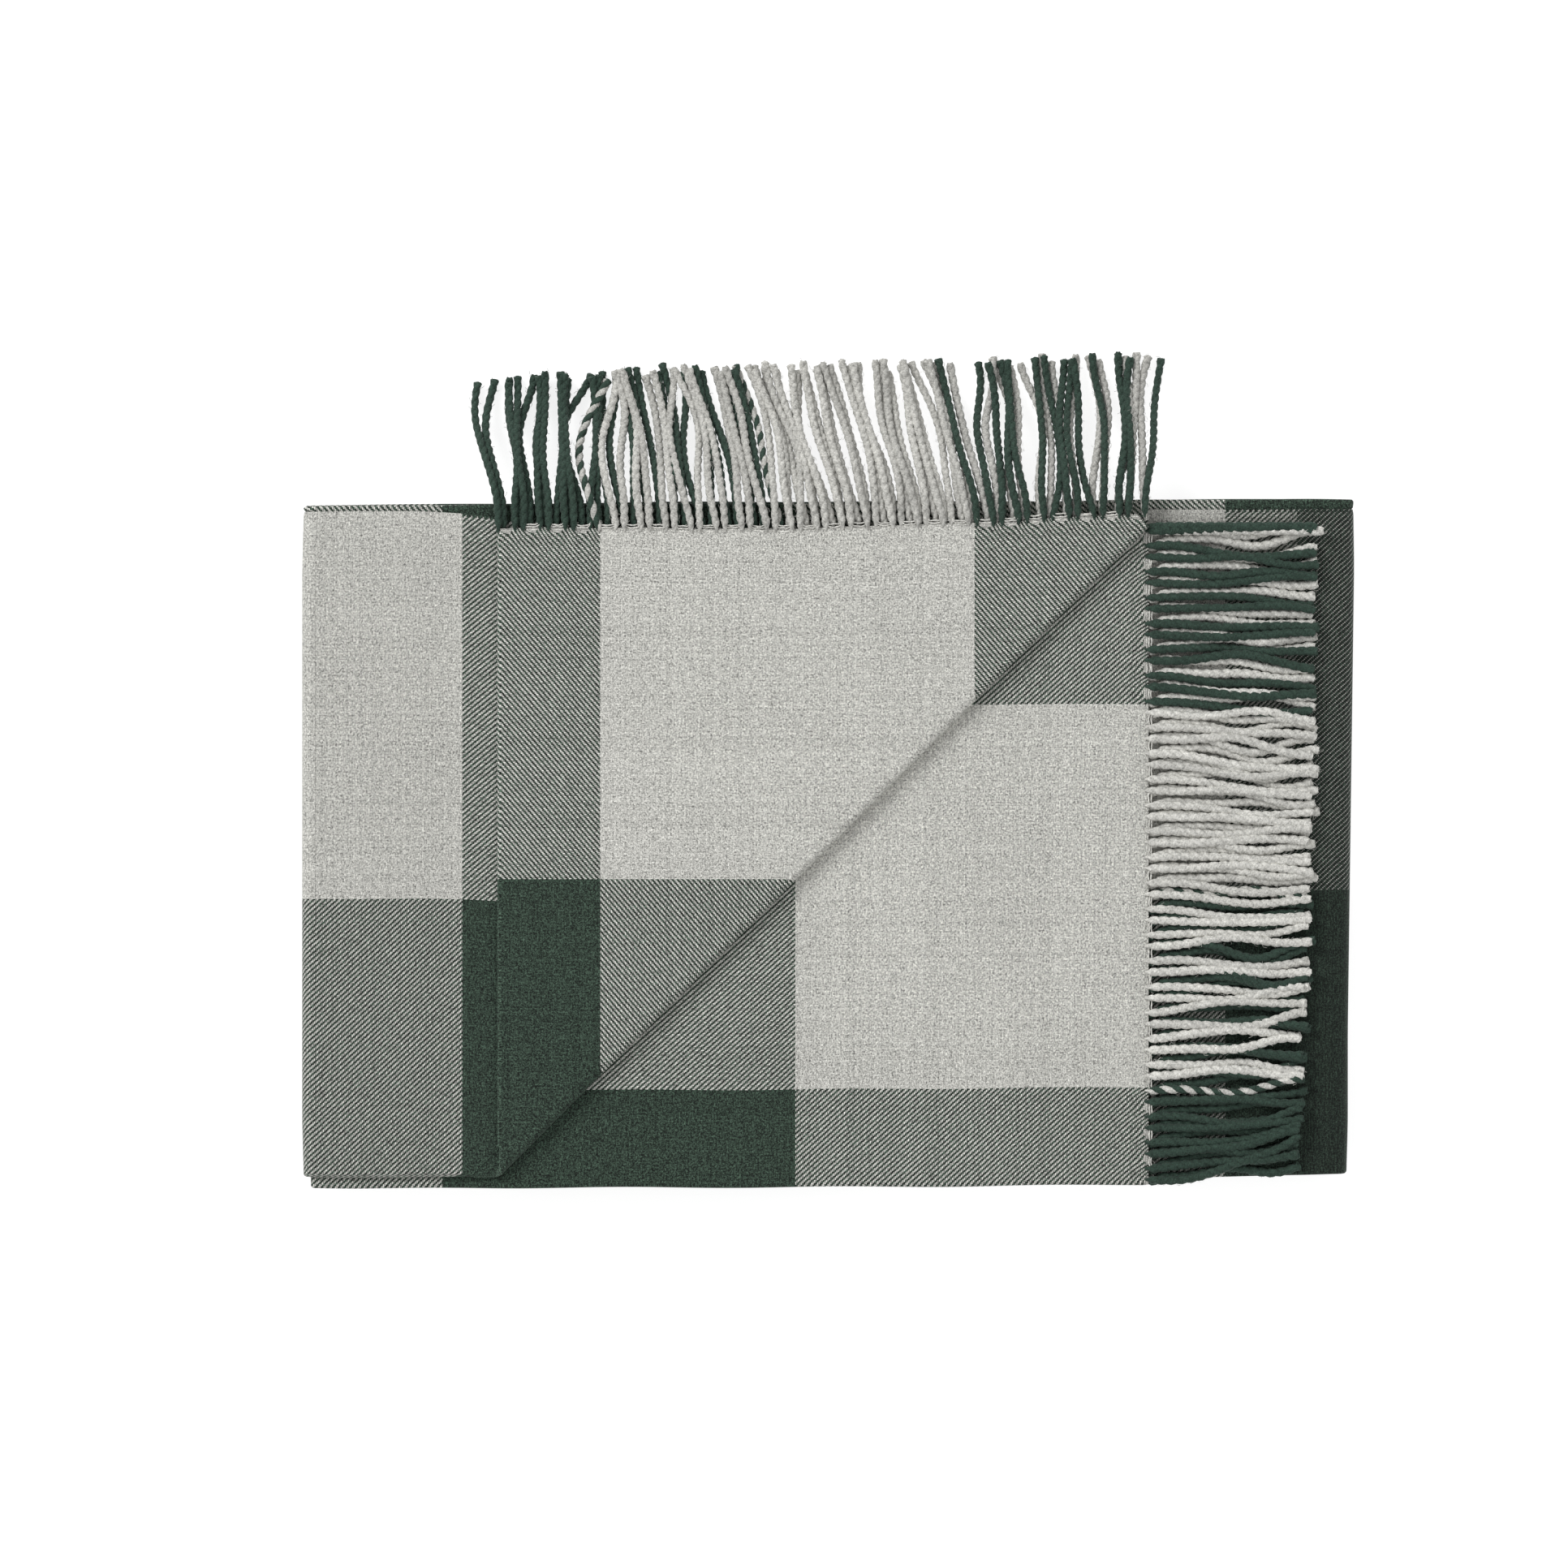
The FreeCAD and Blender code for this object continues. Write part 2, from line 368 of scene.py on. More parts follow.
@dataclass(frozen=True)
class ClothPlan:
    """How the cloth is cut and checked.

    The spacing of its threads is end for the warp and pick for the weft, and root is that of
    the pairs of strands in the fringe.
    """

    width: float = 1300.0
    length: float = 1840.0
    stripes: int = 7
    bands: int = 11
    end: float = 0.63
    pick: float = 0.695
    root: float = 12.5

    @property
    def stripe(self) -> float:
        """Width of one warp stripe."""
        return self.width / self.stripes

    @property
    def band(self) -> float:
        """Width of one weft band."""
        return self.length / self.bands

    def warp_is_green(self, w: float) -> bool:
        """Whether the warp is green at w."""
        return int(min(max(w, 0.0), self.width - 0.01) / self.stripe) % 2 == 1

    def breaks(self, pile: PileFrame) -> list[float]:
        """Where each ply starts and ends across the cloth.

        Args:
            pile: the pile that it is folded into.

        Returns:
            The start and the end of each ply, in order.
        """
        spans = [
            pile.selvedge_1 + pile.inner_front,
            pile.inner_front + pile.back,
            pile.back + pile.outer_front,
            pile.outer_front + pile.selvedge_4,
        ]
        edges, w = [], 0.0
        for span in spans:
            edges += [w, w + span]
            w += span + pile.turn
        return edges


class Order(Enum):
    """Which way the plies of a panel are stacked."""

    FIRST_AT_BOTTOM = 1
    FIRST_ON_TOP = -1


@dataclass(frozen=True)
class Station:
    """Where the edges of the plies lie across the pile at one place along it."""

    selvedge_1: float
    front_12: float
    back_23: float
    front_34: float
    selvedge_4: float

    def row(self) -> np.ndarray:
        """The five edges as a column."""
        return np.array(
            [self.selvedge_1, self.front_12, self.back_23, self.front_34, self.selvedge_4]
        )[:, None]


@dataclass(frozen=True)
class Ripple:
    """A smooth seeded wave over the table."""

    seed: int
    lengths: tuple[float, ...] = (95.0, 150.0, 240.0)

    def at(self, x: np.ndarray, y: Union[np.ndarray, float] = 0.0) -> np.ndarray:
        """The wave at a place, from about -1 to 1.

        Args:
            x: places along the pile.
            y: places across it.

        Returns:
            The wave.
        """
        rng = np.random.default_rng(self.seed)
        total = np.zeros(np.broadcast(x, y).shape)
        for length in self.lengths:
            angle, phase = rng.uniform(0, TAU, 2)
            total += np.sin(TAU * (x * math.cos(angle) + y * math.sin(angle)) / length + phase)
        return total / math.sqrt(len(self.lengths))


def ease(share: np.ndarray) -> np.ndarray:
    """A smooth step from 0 to 1."""
    held = np.clip(share, 0.0, 1.0)
    return held * held * (3 - 2 * held)


def held_back(places: np.ndarray, low: float, high: float) -> np.ndarray:
    """Draw places softly back between two bounds.

    Args:
        places: the places.
        low: the lower bound.
        high: the upper bound.

    Returns:
        The places, none more than a millimetre past a bound.
    """
    give, most = 6.0, 1.0
    places = places - (1 - np.exp(-np.maximum(places - high, 0) / give)) * (places - high)
    places = places + (1 - np.exp(-np.maximum(low - places, 0) / give)) * (low - places)
    return np.clip(places, low - most, high + most)


@dataclass(frozen=True)
class Settle:
    """How the whole soft pile shifts a little, alike for everything in it."""

    corner: float = 0.7
    corner_x: float = 225.0
    corner_y: float = 130.0
    slant: float = 3.4
    slant_x: float = 200.0
    slant_y: float = 160.0

    def apply(self, points: np.ndarray) -> np.ndarray:
        """Move points of the neat pile to where they lie in the settled one.

        Args:
            points: places in millimetres.

        Returns:
            The moved places.
        """
        moved = points.copy()
        x, y = points[..., 0], points[..., 1]
        end = ease((np.abs(x) - self.corner_x) / 30.0)
        side = ease((np.abs(y) - self.corner_y) / 34.0)
        tight = end * side
        moved[..., 0] -= np.sign(x) * self.corner * tight
        moved[..., 1] -= np.sign(y) * 0.5 * self.corner * tight
        right = ease((x - self.slant_x) / 50.0)
        moved[..., 0] -= self.slant * right * np.clip((self.slant_y - y) / 250.0, 0.0, 1.0)
        return moved


@dataclass
class Section:
    """The cloth's path across the pile: four plies and the bends between them."""

    pile: PileFrame
    plan: ClothPlan
    lowest: int
    order: Order
    step: float = 8.0
    bend_steps: int = 6

    def __post_init__(self) -> None:
        """Work out the rows of the path."""
        edges = self.plan.breaks(self.pile)
        self.kind: list[tuple[int, float, bool]] = []
        w: list[float] = []
        for ply in range(4):
            low, high = edges[2 * ply], edges[2 * ply + 1]
            count = max(6, int((high - low) / self.step))
            shares = np.linspace(0, 1, count + 1)
            near = np.array([0.002, 0.006, 0.012])
            shares = np.unique(np.concatenate([shares, near, 1 - near]))
            for share in shares:
                self.kind.append((ply, float(share), False))
                w.append(low + share * (high - low))
            if ply < 3:
                for part in range(1, self.bend_steps):
                    share = part / self.bend_steps
                    self.kind.append((ply, share, True))
                    w.append(high + share * self.pile.turn)
        self.w = np.array(w)

    def height(self, ply: int) -> float:
        """Height of the middle of a ply, counted from 0."""
        number = ply if self.order is Order.FIRST_AT_BOTTOM else 3 - ply
        return self.pile.level(self.lowest + number)

    def rows(self, edges: np.ndarray) -> tuple[np.ndarray, np.ndarray]:
        """Follow the path at each place along the pile.

        Args:
            edges: the five edges, one column for each place.

        Returns:
            Y for each row and column, and Z for each row.
        """
        across, heights = [], []
        for ply, share, bend in self.kind:
            here = self.height(ply)
            if bend:
                there = self.height(ply + 1)
                radius = abs(there - here) / 2
                side = 1 if ply == 1 else -1
                across.append(edges[ply + 1] + side * radius * math.sin(math.pi * share))
                heights.append((here + there) / 2 + (here - there) / 2 * math.cos(math.pi * share))
            else:
                across.append(edges[ply] * (1 - share) + edges[ply + 1] * share)
                heights.append(here)
        return np.array(across), np.array(heights)

    def by_ply(self, values: Sequence[float]) -> np.ndarray:
        """Spread one value for each ply over the rows, mixed in the bends.

        Args:
            values: the four plies' values.

        Returns:
            A value for each row.
        """
        spread = []
        for ply, share, bend in self.kind:
            after = values[ply + 1] if bend else values[ply]
            spread.append(values[ply] + share * (after - values[ply]) if bend else values[ply])
        return np.array(spread)


# ---------------------------------------------------------------- meshes


def to_object(name: str, mesh: bpy.types.Mesh) -> bpy.types.Object:
    """Put a mesh into the scene as an object at the origin."""
    made = bpy.data.objects.new(name, mesh)
    bpy.context.scene.collection.objects.link(made)
    return made


@dataclass
class SheetGrid:
    """A grid of points in the middle of a piece of cloth, with its cloth coordinates."""

    points: np.ndarray
    w: np.ndarray
    u: np.ndarray
    half: np.ndarray

    def normals(self) -> np.ndarray:
        """Unit normals of the grid."""
        down = np.gradient(self.points, axis=0)
        along = np.gradient(self.points, axis=1)
        normal = np.cross(down, along)
        size = np.linalg.norm(normal, axis=2, keepdims=True)
        return normal / np.maximum(size, 1e-9)

    def shell(self, settle: Settle) -> tuple[np.ndarray, list[tuple[int, ...]], np.ndarray]:
        """The cloth as a closed shell.

        Args:
            settle: how the pile has settled.

        Returns:
            Its points in metres, its faces and the cloth coordinates of its points in metres.
        """
        rows, columns = self.points.shape[:2]
        offset = self.normals() * self.half[..., None]
        sides = [self.points + offset, self.points - offset]
        points = np.concatenate([settle.apply(side).reshape(-1, 3) for side in sides]) * MM
        count = rows * columns
        index = np.arange(count).reshape(rows, columns)
        quad = np.stack(
            [index[:-1, :-1], index[1:, :-1], index[1:, 1:], index[:-1, 1:]], axis=-1
        ).reshape(-1, 4)
        ring = np.concatenate(
            [index[0, :-1], index[:-1, -1], index[-1, :0:-1], index[:0:-1, 0]]
        )
        after = np.roll(ring, -1)
        rim = np.stack([ring, after, after + count, ring + count], axis=-1)
        faces = np.concatenate([quad, quad[:, ::-1] + count, rim])
        corner = points[faces]
        volume = np.einsum(
            "ij,ij->i", corner[:, 0], np.cross(corner[:, 1], corner[:, 2])
        ) + np.einsum("ij,ij->i", corner[:, 0], np.cross(corner[:, 2], corner[:, 3]))
        if volume.sum() < 0:
            faces = faces[:, ::-1]
        cloth = np.stack([self.w, self.u], axis=-1).reshape(-1, 2) * MM
        return points, [tuple(face) for face in faces.tolist()], np.concatenate([cloth, cloth])


def cloth_mesh(name: str, grids: Sequence[SheetGrid], settle: Settle) -> bpy.types.Mesh:
    """One mesh from several pieces of cloth.

    Args:
        name: the mesh's name.
        grids: the pieces.
        settle: how the pile has settled.

    Returns:
        The mesh, with its cloth coordinates as its UV map.
    """
    points, faces, cloth, start = [], [], [], 0
    for grid in grids:
        part, quads, place = grid.shell(settle)
        points.append(part)
        cloth.append(place)
        faces += [tuple(start + i for i in quad) for quad in quads]
        start += len(part)
    mesh = bpy.data.meshes.new(name)
    mesh.from_pydata(np.concatenate(points).tolist(), [], faces)
    layer = mesh.uv_layers.new(name="UVMap")
    corner = np.zeros(len(mesh.loops), np.int32)
    mesh.loops.foreach_get("vertex_index", corner)
    layer.data.foreach_set("uv", np.concatenate(cloth)[corner].astype(np.float32).ravel())
    mesh.polygons.foreach_set("use_smooth", np.ones(len(mesh.polygons), bool))
    mesh.set_sharp_from_angle(angle=math.radians(52))
    mesh.update()
    return mesh


def line_mesh(
    name: str,
    points: np.ndarray,
    edges: Sequence[tuple[int, int]],
    features: dict[str, Sequence[float]],
) -> bpy.types.Mesh:
    """A mesh of plain lines for the spinner.

    Args:
        name: the mesh's name.
        points: its points in metres.
        edges: which points are joined.
        features: a number at each point, for each feature by name.

    Returns:
        The mesh.
    """
    mesh = bpy.data.meshes.new(name)
    mesh.from_pydata(points.tolist(), list(edges), [])
    for label, values in features.items():
        layer = mesh.attributes.new(label, "FLOAT", "POINT")
        layer.data.foreach_set("value", np.array(values, np.float32))
    return mesh


def softened(places: np.ndarray, free_low: bool, free_high: bool) -> np.ndarray:
    """A share of the thickness that thins out towards free edges.

    Args:
        places: distances along the cloth.
        free_low: whether the lowest place is a free edge.
        free_high: whether the highest place is a free edge.

    Returns:
        The share at each place.
    """
    share = np.ones_like(places)
    if free_low:
        share *= 0.55 + 0.45 * ease((places - places.min()) / 2.5)
    if free_high:
        share *= 0.55 + 0.45 * ease((places.max() - places) / 2.5)
    return share


# ---------------------------------------------------------------- finishes


class Finish:
    """A material that is made once and handed out."""

    def __init__(self, name: str) -> None:
        """Start an empty material with its shader."""
        self.material = bpy.data.materials.new(name)
        self.material.use_nodes = True
        self.graph = Graph(self.material.node_tree)
        self.shader = self.material.node_tree.nodes["Principled BSDF"]
        self.shader.inputs["Specular IOR Level"].default_value = 0.25

    def colour(self, value: Feed) -> None:
        """Set the base colour."""
        self.graph.feed(self.shader.inputs["Base Color"], value)

    def rough(self, value: Feed) -> None:
        """Set the roughness."""
        self.graph.feed(self.shader.inputs["Roughness"], value)

    def sheen(self, weight: float, rough: float, tint: Shade) -> None:
        """Set the soft halo of loose fibres, the same all over."""
        self.shader.inputs["Sheen Weight"].default_value = weight
        self.shader.inputs["Sheen Roughness"].default_value = rough
        self.shader.inputs["Sheen Tint"].default_value = tint.rgba()

    def relief(self, height: Wire, depth: float, strength: float) -> None:
        """Raise the surface by a height from 0 to 1.

        Args:
            height: the height.
            depth: how deep the relief is, in metres.
            strength: how strong it shows.
        """
        values = {"Height": height, "Distance": depth, "Strength": strength}
        bump = self.graph.node("ShaderNodeBump", None, values)
        self.graph.feed(self.shader.inputs["Normal"], bump.outputs[0])


@dataclass(frozen=True)
class Patch:
    """A stretch of the cloth with soft borders, in cloth coordinates."""

    w_rise: tuple[float, float]
    u_rise: tuple[float, float]
    w_fall: Optional[tuple[float, float]] = None
    u_fall: Optional[tuple[float, float]] = None

    def mask(self, w: Wire, u: Wire) -> Wire:
        """Where the patch lies.

        Args:
            w: the place across the cloth.
            u: the place along it.

        Returns:
            1 in the patch and 0 outside it.
        """
        inside = w.step(*self.w_rise) * u.step(*self.u_rise)
        if self.w_fall is not None:
            inside = inside * (1 - w.step(*self.w_fall))
        if self.u_fall is not None:
            inside = inside * (1 - u.step(*self.u_fall))
        return inside


@dataclass(frozen=True)
class WovenCloth:
    """The checked 2/2 twill, brushed a little, drawn from the cloth coordinates."""

    plan: ClothPlan
    light: Shade = LIGHT_YARN
    green: Shade = GREEN_YARN
    pull: float = 1.3
    pull_reach: float = 4.5
    # Strip on the right fold's rounded edge. Fewer light floats show there, and it is painted at half
    # brightness: painted shade where the fold turns down.
    thin_float_and_shaded_strip: Patch = Patch((972.0, 976.0), (862.0, 880.0), u_fall=(896.0, 912.0))
    # Painted shade under the top panel's fringe, on the second panel's top ply: 22% darker.
    shade_under_fringe: Patch = Patch((972.0, 976.0), (745.0, 790.0))
    # Painted shade on the top panel's strip left of the turned-back corner, 11% darker, fading out
    # towards the left fold.
    shade_beside_flap: Patch = Patch((-2.0, -1.0), (318.0, 356.0), (329.9, 330.1), (412.0, 424.0))
    # Where w crosses the corner's left fold edge, along which a highlight is painted.
    fold_highlight_w: float = 320.3

    def threads(self, g: Graph, w: Wire, u: Wire) -> tuple[Wire, Wire]:
        """Count the threads, drawn together at the fringed ends.

        Args:
            g: the shader's nodes.
            w: the place across the cloth.
            u: the place along it.

        Returns:
            The warp's and the weft's running thread numbers.
        """
        hem = g.math("MINIMUM", u, self.plan.length - u)
        gather = (w * (TAU / self.plan.root) - TAU / 2).sine() * (hem * (-1 / self.pull_reach)).decay()
        waver = g.grain(g.joined(w * 0.05, u * 0.05), 1.0, 1.0) - 0.5
        warp = (w + gather * self.pull + waver * 0.5) / self.plan.end
        weft = (u + waver * 0.6) / self.plan.pick
        return warp, weft

    def floats(self, g: Graph, w: Wire, u: Wire, warp: Wire, weft: Wire) -> Wire:
        """Where the warp lies over the weft.

        Args:
            g: the shader's nodes.
            w: the place across the cloth.
            u: the place along it.
            warp: the warp's thread numbers.
            weft: the weft's thread numbers.

        Returns:
            1 where a warp thread is on top and 0 where a weft thread is.
        """
        hem = g.math("MINIMUM", u, self.plan.length - u)
        edge = g.math("MINIMUM", w, self.plan.width - w)
        over = ((weft.floor() - warp.floor()) % 4.0) < (1.5 - self.thin_float_and_shaded_strip.mask(w, u))
        loops = (edge < 1.3) * ((weft % 4.0) < 2.2)
        open_hem = (w * (TAU / self.plan.root)).raised_cosine() * (hem * (-1 / 2.4)).decay()
        return over * (1 - loops) * (open_hem < 0.36)

    def shading(self, w: Wire, u: Wire) -> Wire:
        """Painted shade, as a factor below 1: on the fold strip, under the top fringe and beside the
        turned-back corner.
        """
        strip = self.thin_float_and_shaded_strip.mask(w, u)
        # Painted shade: 22% under the fringe, half on the fold strip, and 11% beside the corner.
        dim = 1 - self.shade_under_fringe.mask(w, u) * (1 - strip) * 0.22 - strip * 0.5
        return dim - self.shade_beside_flap.mask(w, u) * 0.11

    def make(self) -> bpy.types.Material:
        """Build the material.

        Returns:
            The material.
        """
        finish = Finish("woven_cloth")
        g, plan = finish.graph, self.plan
        place = g.node("ShaderNodeUVMap", {"uv_map": "UVMap"})
        parts = g.node("ShaderNodeSeparateXYZ", None, {0: place.outputs[0]})
        w, u = g.wire(parts, 0) * 1000.0, g.wire(parts, 1) * 1000.0
        warp, weft = self.threads(g, w, u)
        over = self.floats(g, w, u, warp, weft)
        warp_green = ((w / plan.stripe).floor() % 2.0) > 0.5
        weft_green = ((u / plan.band).floor() % 2.0) > 0.5
        green = over * warp_green + (1 - over) * weft_green
        mixed = g.math("ABSOLUTE", warp_green - weft_green)
        yarn = over * g.dice(warp.floor()) + (1 - over) * g.dice(weft.floor() + 4000.0)
        along = g.grain(g.joined(w * 1.3, u * 0.22), 1.0, 2.0, 0.6)
        athwart = g.grain(g.joined(w * 0.22, u * 1.3, 7.0), 1.0, 2.0, 0.6)
        heather = g.grain(g.joined(w * 1.15, u * 1.15, 3.0), 1.0, 3.0, 0.7)
        fleck = g.grain(g.joined(w * 3.1, u * 3.1, 5.0), 1.0, 1.0)
        cloud = g.grain(g.joined(w * 0.02, u * 0.02, 9.0), 1.0, 2.0)
        streak = over * along + (1 - over) * athwart
        loose = (heather - 0.5) * 2.9 + (fleck - 0.5) * 2.2 + (streak - 0.5) * 2.0
        crown = over * (warp.part() * math.pi).sine() + (1 - over) * (weft.part() * math.pi).sine()
        # A painted highlight along the corner's left fold edge: 16% brighter on light yarn, 70% on
        # green.
        from_fold_highlight = w - self.fold_highlight_w
        fold_highlight = (from_fold_highlight * from_fold_highlight * -0.5).decay()
        even = (1 - mixed * 0.18) * (1 + fold_highlight * 0.16)
        lit = (0.95 + (yarn - 0.5) * 0.24 + loose + (cloud - 0.5) * 0.16) * even
        # Painted shade at the edges of each thread and painted light on its crown, strongest in the
        # mixed checks.
        lit = lit * (1 + (crown - 0.60) * (mixed * 1.1 + 0.15))
        dark_lit = (1.0 + (yarn - 0.5) * 0.6 + loose * 3.2) * (1 + fold_highlight * 0.7)
        shade = self.shading(w, u)
        light = g.times(self.light.rgb(), g.math("MAXIMUM", lit, 0.15) * shade)
        deep = g.times(self.green.rgb(), g.math("MAXIMUM", dark_lit, 0.15) * shade)
        finish.colour(g.pick(green, light, deep))
        finish.rough(0.86)
        finish.sheen(0.10, 0.5, Shade(0.9, 0.95, 0.9))
        finish.relief(crown * 0.5 + heather * 1.2 + fleck * 0.6, 0.00035, 0.6)
        return finish.material


@dataclass(frozen=True)
class TwistedYarn:
    """The fringe's two-ply yarn, light or green by each ply's own tone."""

    light: Shade = Shade(0.590, 0.583, 0.548)
    green: Shade = Shade(0.0300, 0.0540, 0.0410)
    hatch: float = 1.15

    def make(self) -> bpy.types.Material:
        """Build the material.

        Returns:
            The material.
        """
        finish = Finish("fringe_yarn")
        g = finish.graph
        along = g.feature("along") * 1000.0
        angle = g.math("ARCTAN2", g.feature("round_y"), g.feature("round_x"))
        hatch = (along * (TAU / self.hatch) + angle * 2.0).sine()
        place = g.wire(g.node("ShaderNodeTexCoord"), "Object")
        fibre = g.grain(place, 1600.0, 2.0)
        cloud = g.grain(place, 160.0, 2.0)
        heather = g.grain(place, 700.0, 2.0)
        lit = 1.0 + (fibre - 0.5) * 1.2 + (heather - 0.5) * 1.3 + (cloud - 0.5) * 0.5 + hatch * 0.04
        # The pale feature scales the light yarn: a random tone for each strand, and painted shade on
        # the flap's rows, which are set darker than the rest.
        light = g.times(self.light.rgb(), lit * g.feature("pale"))
        deep = g.times(self.green.rgb(), lit + (fibre - 0.5) * 0.8)
        finish.colour(g.pick(g.feature("tone"), light, deep))
        finish.rough(0.88)
        finish.sheen(0.08, 0.5, Shade(0.9, 0.95, 0.9))
        finish.relief(hatch * 0.5 + fibre + heather, 0.0002, 0.5)
        return finish.material


@dataclass(frozen=True)
class Floor:
    """A plain pale floor."""

    side: float = 12.0
    drop: float = 0.0004

    def make(self) -> bpy.types.Object:
        """Build the floor.

        Returns:
            The floor, which isn't part of the object.
        """
        half = self.side / 2
        mesh = bpy.data.meshes.new("floor")
        corners = [(-half, -half), (half, -half), (half, half), (-half, half)]
        mesh.from_pydata([(x, y, -self.drop) for x, y in corners], [], [(0, 1, 2, 3)])
        finish = Finish("floor")
        finish.colour((0.40, 0.40, 0.40, 1.0))
        finish.rough(0.9)
        finish.shader.inputs["Emission Color"].default_value = (1.0, 1.0, 1.0, 1.0)
        finish.shader.inputs["Emission Strength"].default_value = 0.80
        mesh.materials.append(finish.material)
        floor = to_object("floor", mesh)
        return floor


# ---------------------------------------------------------------- panels and folds


@dataclass
class Lengthwise:
    """Cloth coordinate u at the two ends of each panel, for each ply.

    Ply 1 of the top panel has u of first_zero at x 0. The other plies are drawn in by a share,
    and a stripe of the second panel ends at check_x, where u is check_u.
    """

    pile: PileFrame
    plan: ClothPlan
    first_zero: float = 158.0
    drawn_in: float = 0.9835
    check_u: float = 836.4
    check_x: float = 191.0

    def __post_init__(self) -> None:
        """Follow each ply from the fringed end on top to the one underneath."""
        pile, radii = self.pile, [(0.5 + n) * self.pile.pitch for n in range(4)]
        outer = [math.pi * radii[3 - ply] for ply in range(4)]
        inner = [math.pi * radii[ply] for ply in range(4)]
        top = [self.first_zero - pile.top_end, 0.0, 0.0, 0.0]
        other = self.drawn_in * (pile.top_end + pile.reach)
        top_left = [self.first_zero + pile.reach, other, other, other]
        second_left = [a + b for a, b in zip(top_left, outer)]
        second_right = [
            a + 2 * pile.reach * (self.check_u - a) / (self.check_x + pile.reach)
            for a in second_left
        ]
        third_right = [a + b for a, b in zip(second_right, inner)]
        third_left = [a + 2 * pile.reach for a in third_right]
        bottom_left = [a + b for a, b in zip(third_left, outer)]
        bottom_right = [self.plan.length] * 4
        self.ends = {
            "top_panel": (top_left, top),
            "second_panel": (second_left, second_right),
            "third_panel": (third_left, third_right),
            "bottom_panel": (bottom_left, bottom_right),
        }


@dataclass
class Panel:
    """Four plies of the cloth with the bends between them, from a side fold to an end."""

    pile: PileFrame
    plan: ClothPlan
    name: str
    lowest: int
    order: Order
    left: Station
    right: Station
    x_left: float
    x_right: float
    u_ends: tuple[list[float], list[float]]
    free_right: bool = False
    step: float = 8.0
    waver: float = 0.55
    cut: Optional[Callable[[np.ndarray], np.ndarray]] = None
    first_edge: Optional[Callable[[np.ndarray], np.ndarray]] = None

    def columns(self) -> np.ndarray:
        """Shares of the way from the left to the right, closer together at a free end."""
        count = int((self.x_right - self.x_left) / self.step)
        shares = np.linspace(0, 1, count + 1)
        if self.free_right:
            near = np.array([0.6, 1.4, 2.6, 4.5]) / (self.x_right - self.x_left)
            shares = np.unique(np.concatenate([shares, 1 - near]))
        return shares

    def edges(self, x: np.ndarray) -> np.ndarray:
        """Where the edges lie at each place along the panel.

        Args:
            x: places along the pile.

        Returns:
            The five edges, one column for each place.
        """
        share = (x - self.x_left) / (self.x_right - self.x_left)
        rows = self.left.row() * (1 - share) + self.right.row() * share
        window = np.sin(np.pi * np.clip(share, 0, 1)) ** 0.5
        if self.free_right:
            window = ease(share * 4)
        wave = [Ripple(40 + 7 * self.lowest + k).at(x) for k in range(5)]
        edges = rows + self.waver * window * np.array(wave)
        if self.first_edge is not None:
            edges[0] = self.first_edge(x) + 0.3 * window * wave[0]
        return edges

    def grid(self) -> SheetGrid:
        """The panel's grid.

        Returns:
            The grid.
        """
        section = Section(self.pile, self.plan, self.lowest, self.order, self.step)
        shares = self.columns()
        x = self.x_left + shares * (self.x_right - self.x_left)
        y, z = section.rows(self.edges(x))
        xs = np.broadcast_to(x, y.shape).copy()
        if self.cut is not None:
            ends = np.full(len(y), self.x_right)
            for row, (ply, share, bend) in enumerate(section.kind):
                if ply < 2 and not (ply == 1 and bend):
                    ends[row] = min(self.x_right, float(self.cut(np.array([y[row, -1]]))[0]))
            for _ in range(3):
                for row in range(len(y)):
                    xs[row] = self.x_left + shares * (ends[row] - self.x_left)
                y = np.array(
                    [section.rows(self.edges(xs[row]))[0][row] for row in range(len(y))]
                )
        low, high = (section.by_ply(values)[:, None] for values in self.u_ends)
        share = (xs - self.x_left) / (self.x_right - self.x_left)
        u = low + share * (high - low)
        w = np.broadcast_to(section.w[:, None], u.shape)
        points = np.stack([xs, y, np.broadcast_to(z[:, None], xs.shape)], axis=-1)
        half = softened(section.w, True, True)[:, None] * np.ones_like(xs)
        if self.free_right:
            half = half * softened(x, False, True)[None, :]
        return SheetGrid(points, w, u, half * self.pile.thick / 2)


@dataclass
class SideFold:
    """All four plies going round one lengthwise fold of the pile."""

    pile: PileFrame
    plan: ClothPlan
    axis_level: int
    side: int
    lower_order: Order
    station: Station
    u_lower: list[float]
    u_upper: list[float]
    steps: int = 14

    def grid(self) -> SheetGrid:
        """The fold's grid, turned half a turn from the lower panel to the upper one.

        Returns:
            The grid.
        """
        section = Section(self.pile, self.plan, self.axis_level - 4, self.lower_order)
        y, z = section.rows(self.station.row())
        axis = self.pile.seam(self.axis_level)
        radius = axis - z
        angle = np.linspace(0, math.pi, self.steps + 1)
        free = max(self.station.selvedge_1, self.station.selvedge_4) + 0.3
        wide = radius + (np.max(radius) - radius) * ease((y[:, 0] - free) / 1.2)
        x = self.side * (self.pile.reach + wide[:, None] * np.sin(angle)[None, :])
        heights = axis - radius[:, None] * np.cos(angle)[None, :]
        low, high = section.by_ply(self.u_lower), section.by_ply(self.u_upper)
        share = (angle / math.pi)[None, :]
        u = low[:, None] * (1 - share) + high[:, None] * share
        w = np.broadcast_to(section.w[:, None], u.shape)
        points = np.stack([x, np.broadcast_to(y, x.shape), heights], axis=-1)
        half = softened(section.w, True, True)[:, None] * np.ones_like(x)
        return SheetGrid(points, w, u, half * self.pile.thick / 2)


# ---------------------------------------------------------------- the turned-back corner


@dataclass(frozen=True)
class RollColumn:
    """One line along the crease: on a straight lead before or after the roll, or round it.

    A lead's share is negative under the roll and positive over it, and 0 on the roll itself.
    """

    straight: float = 0.0
    angle: float = 0.0


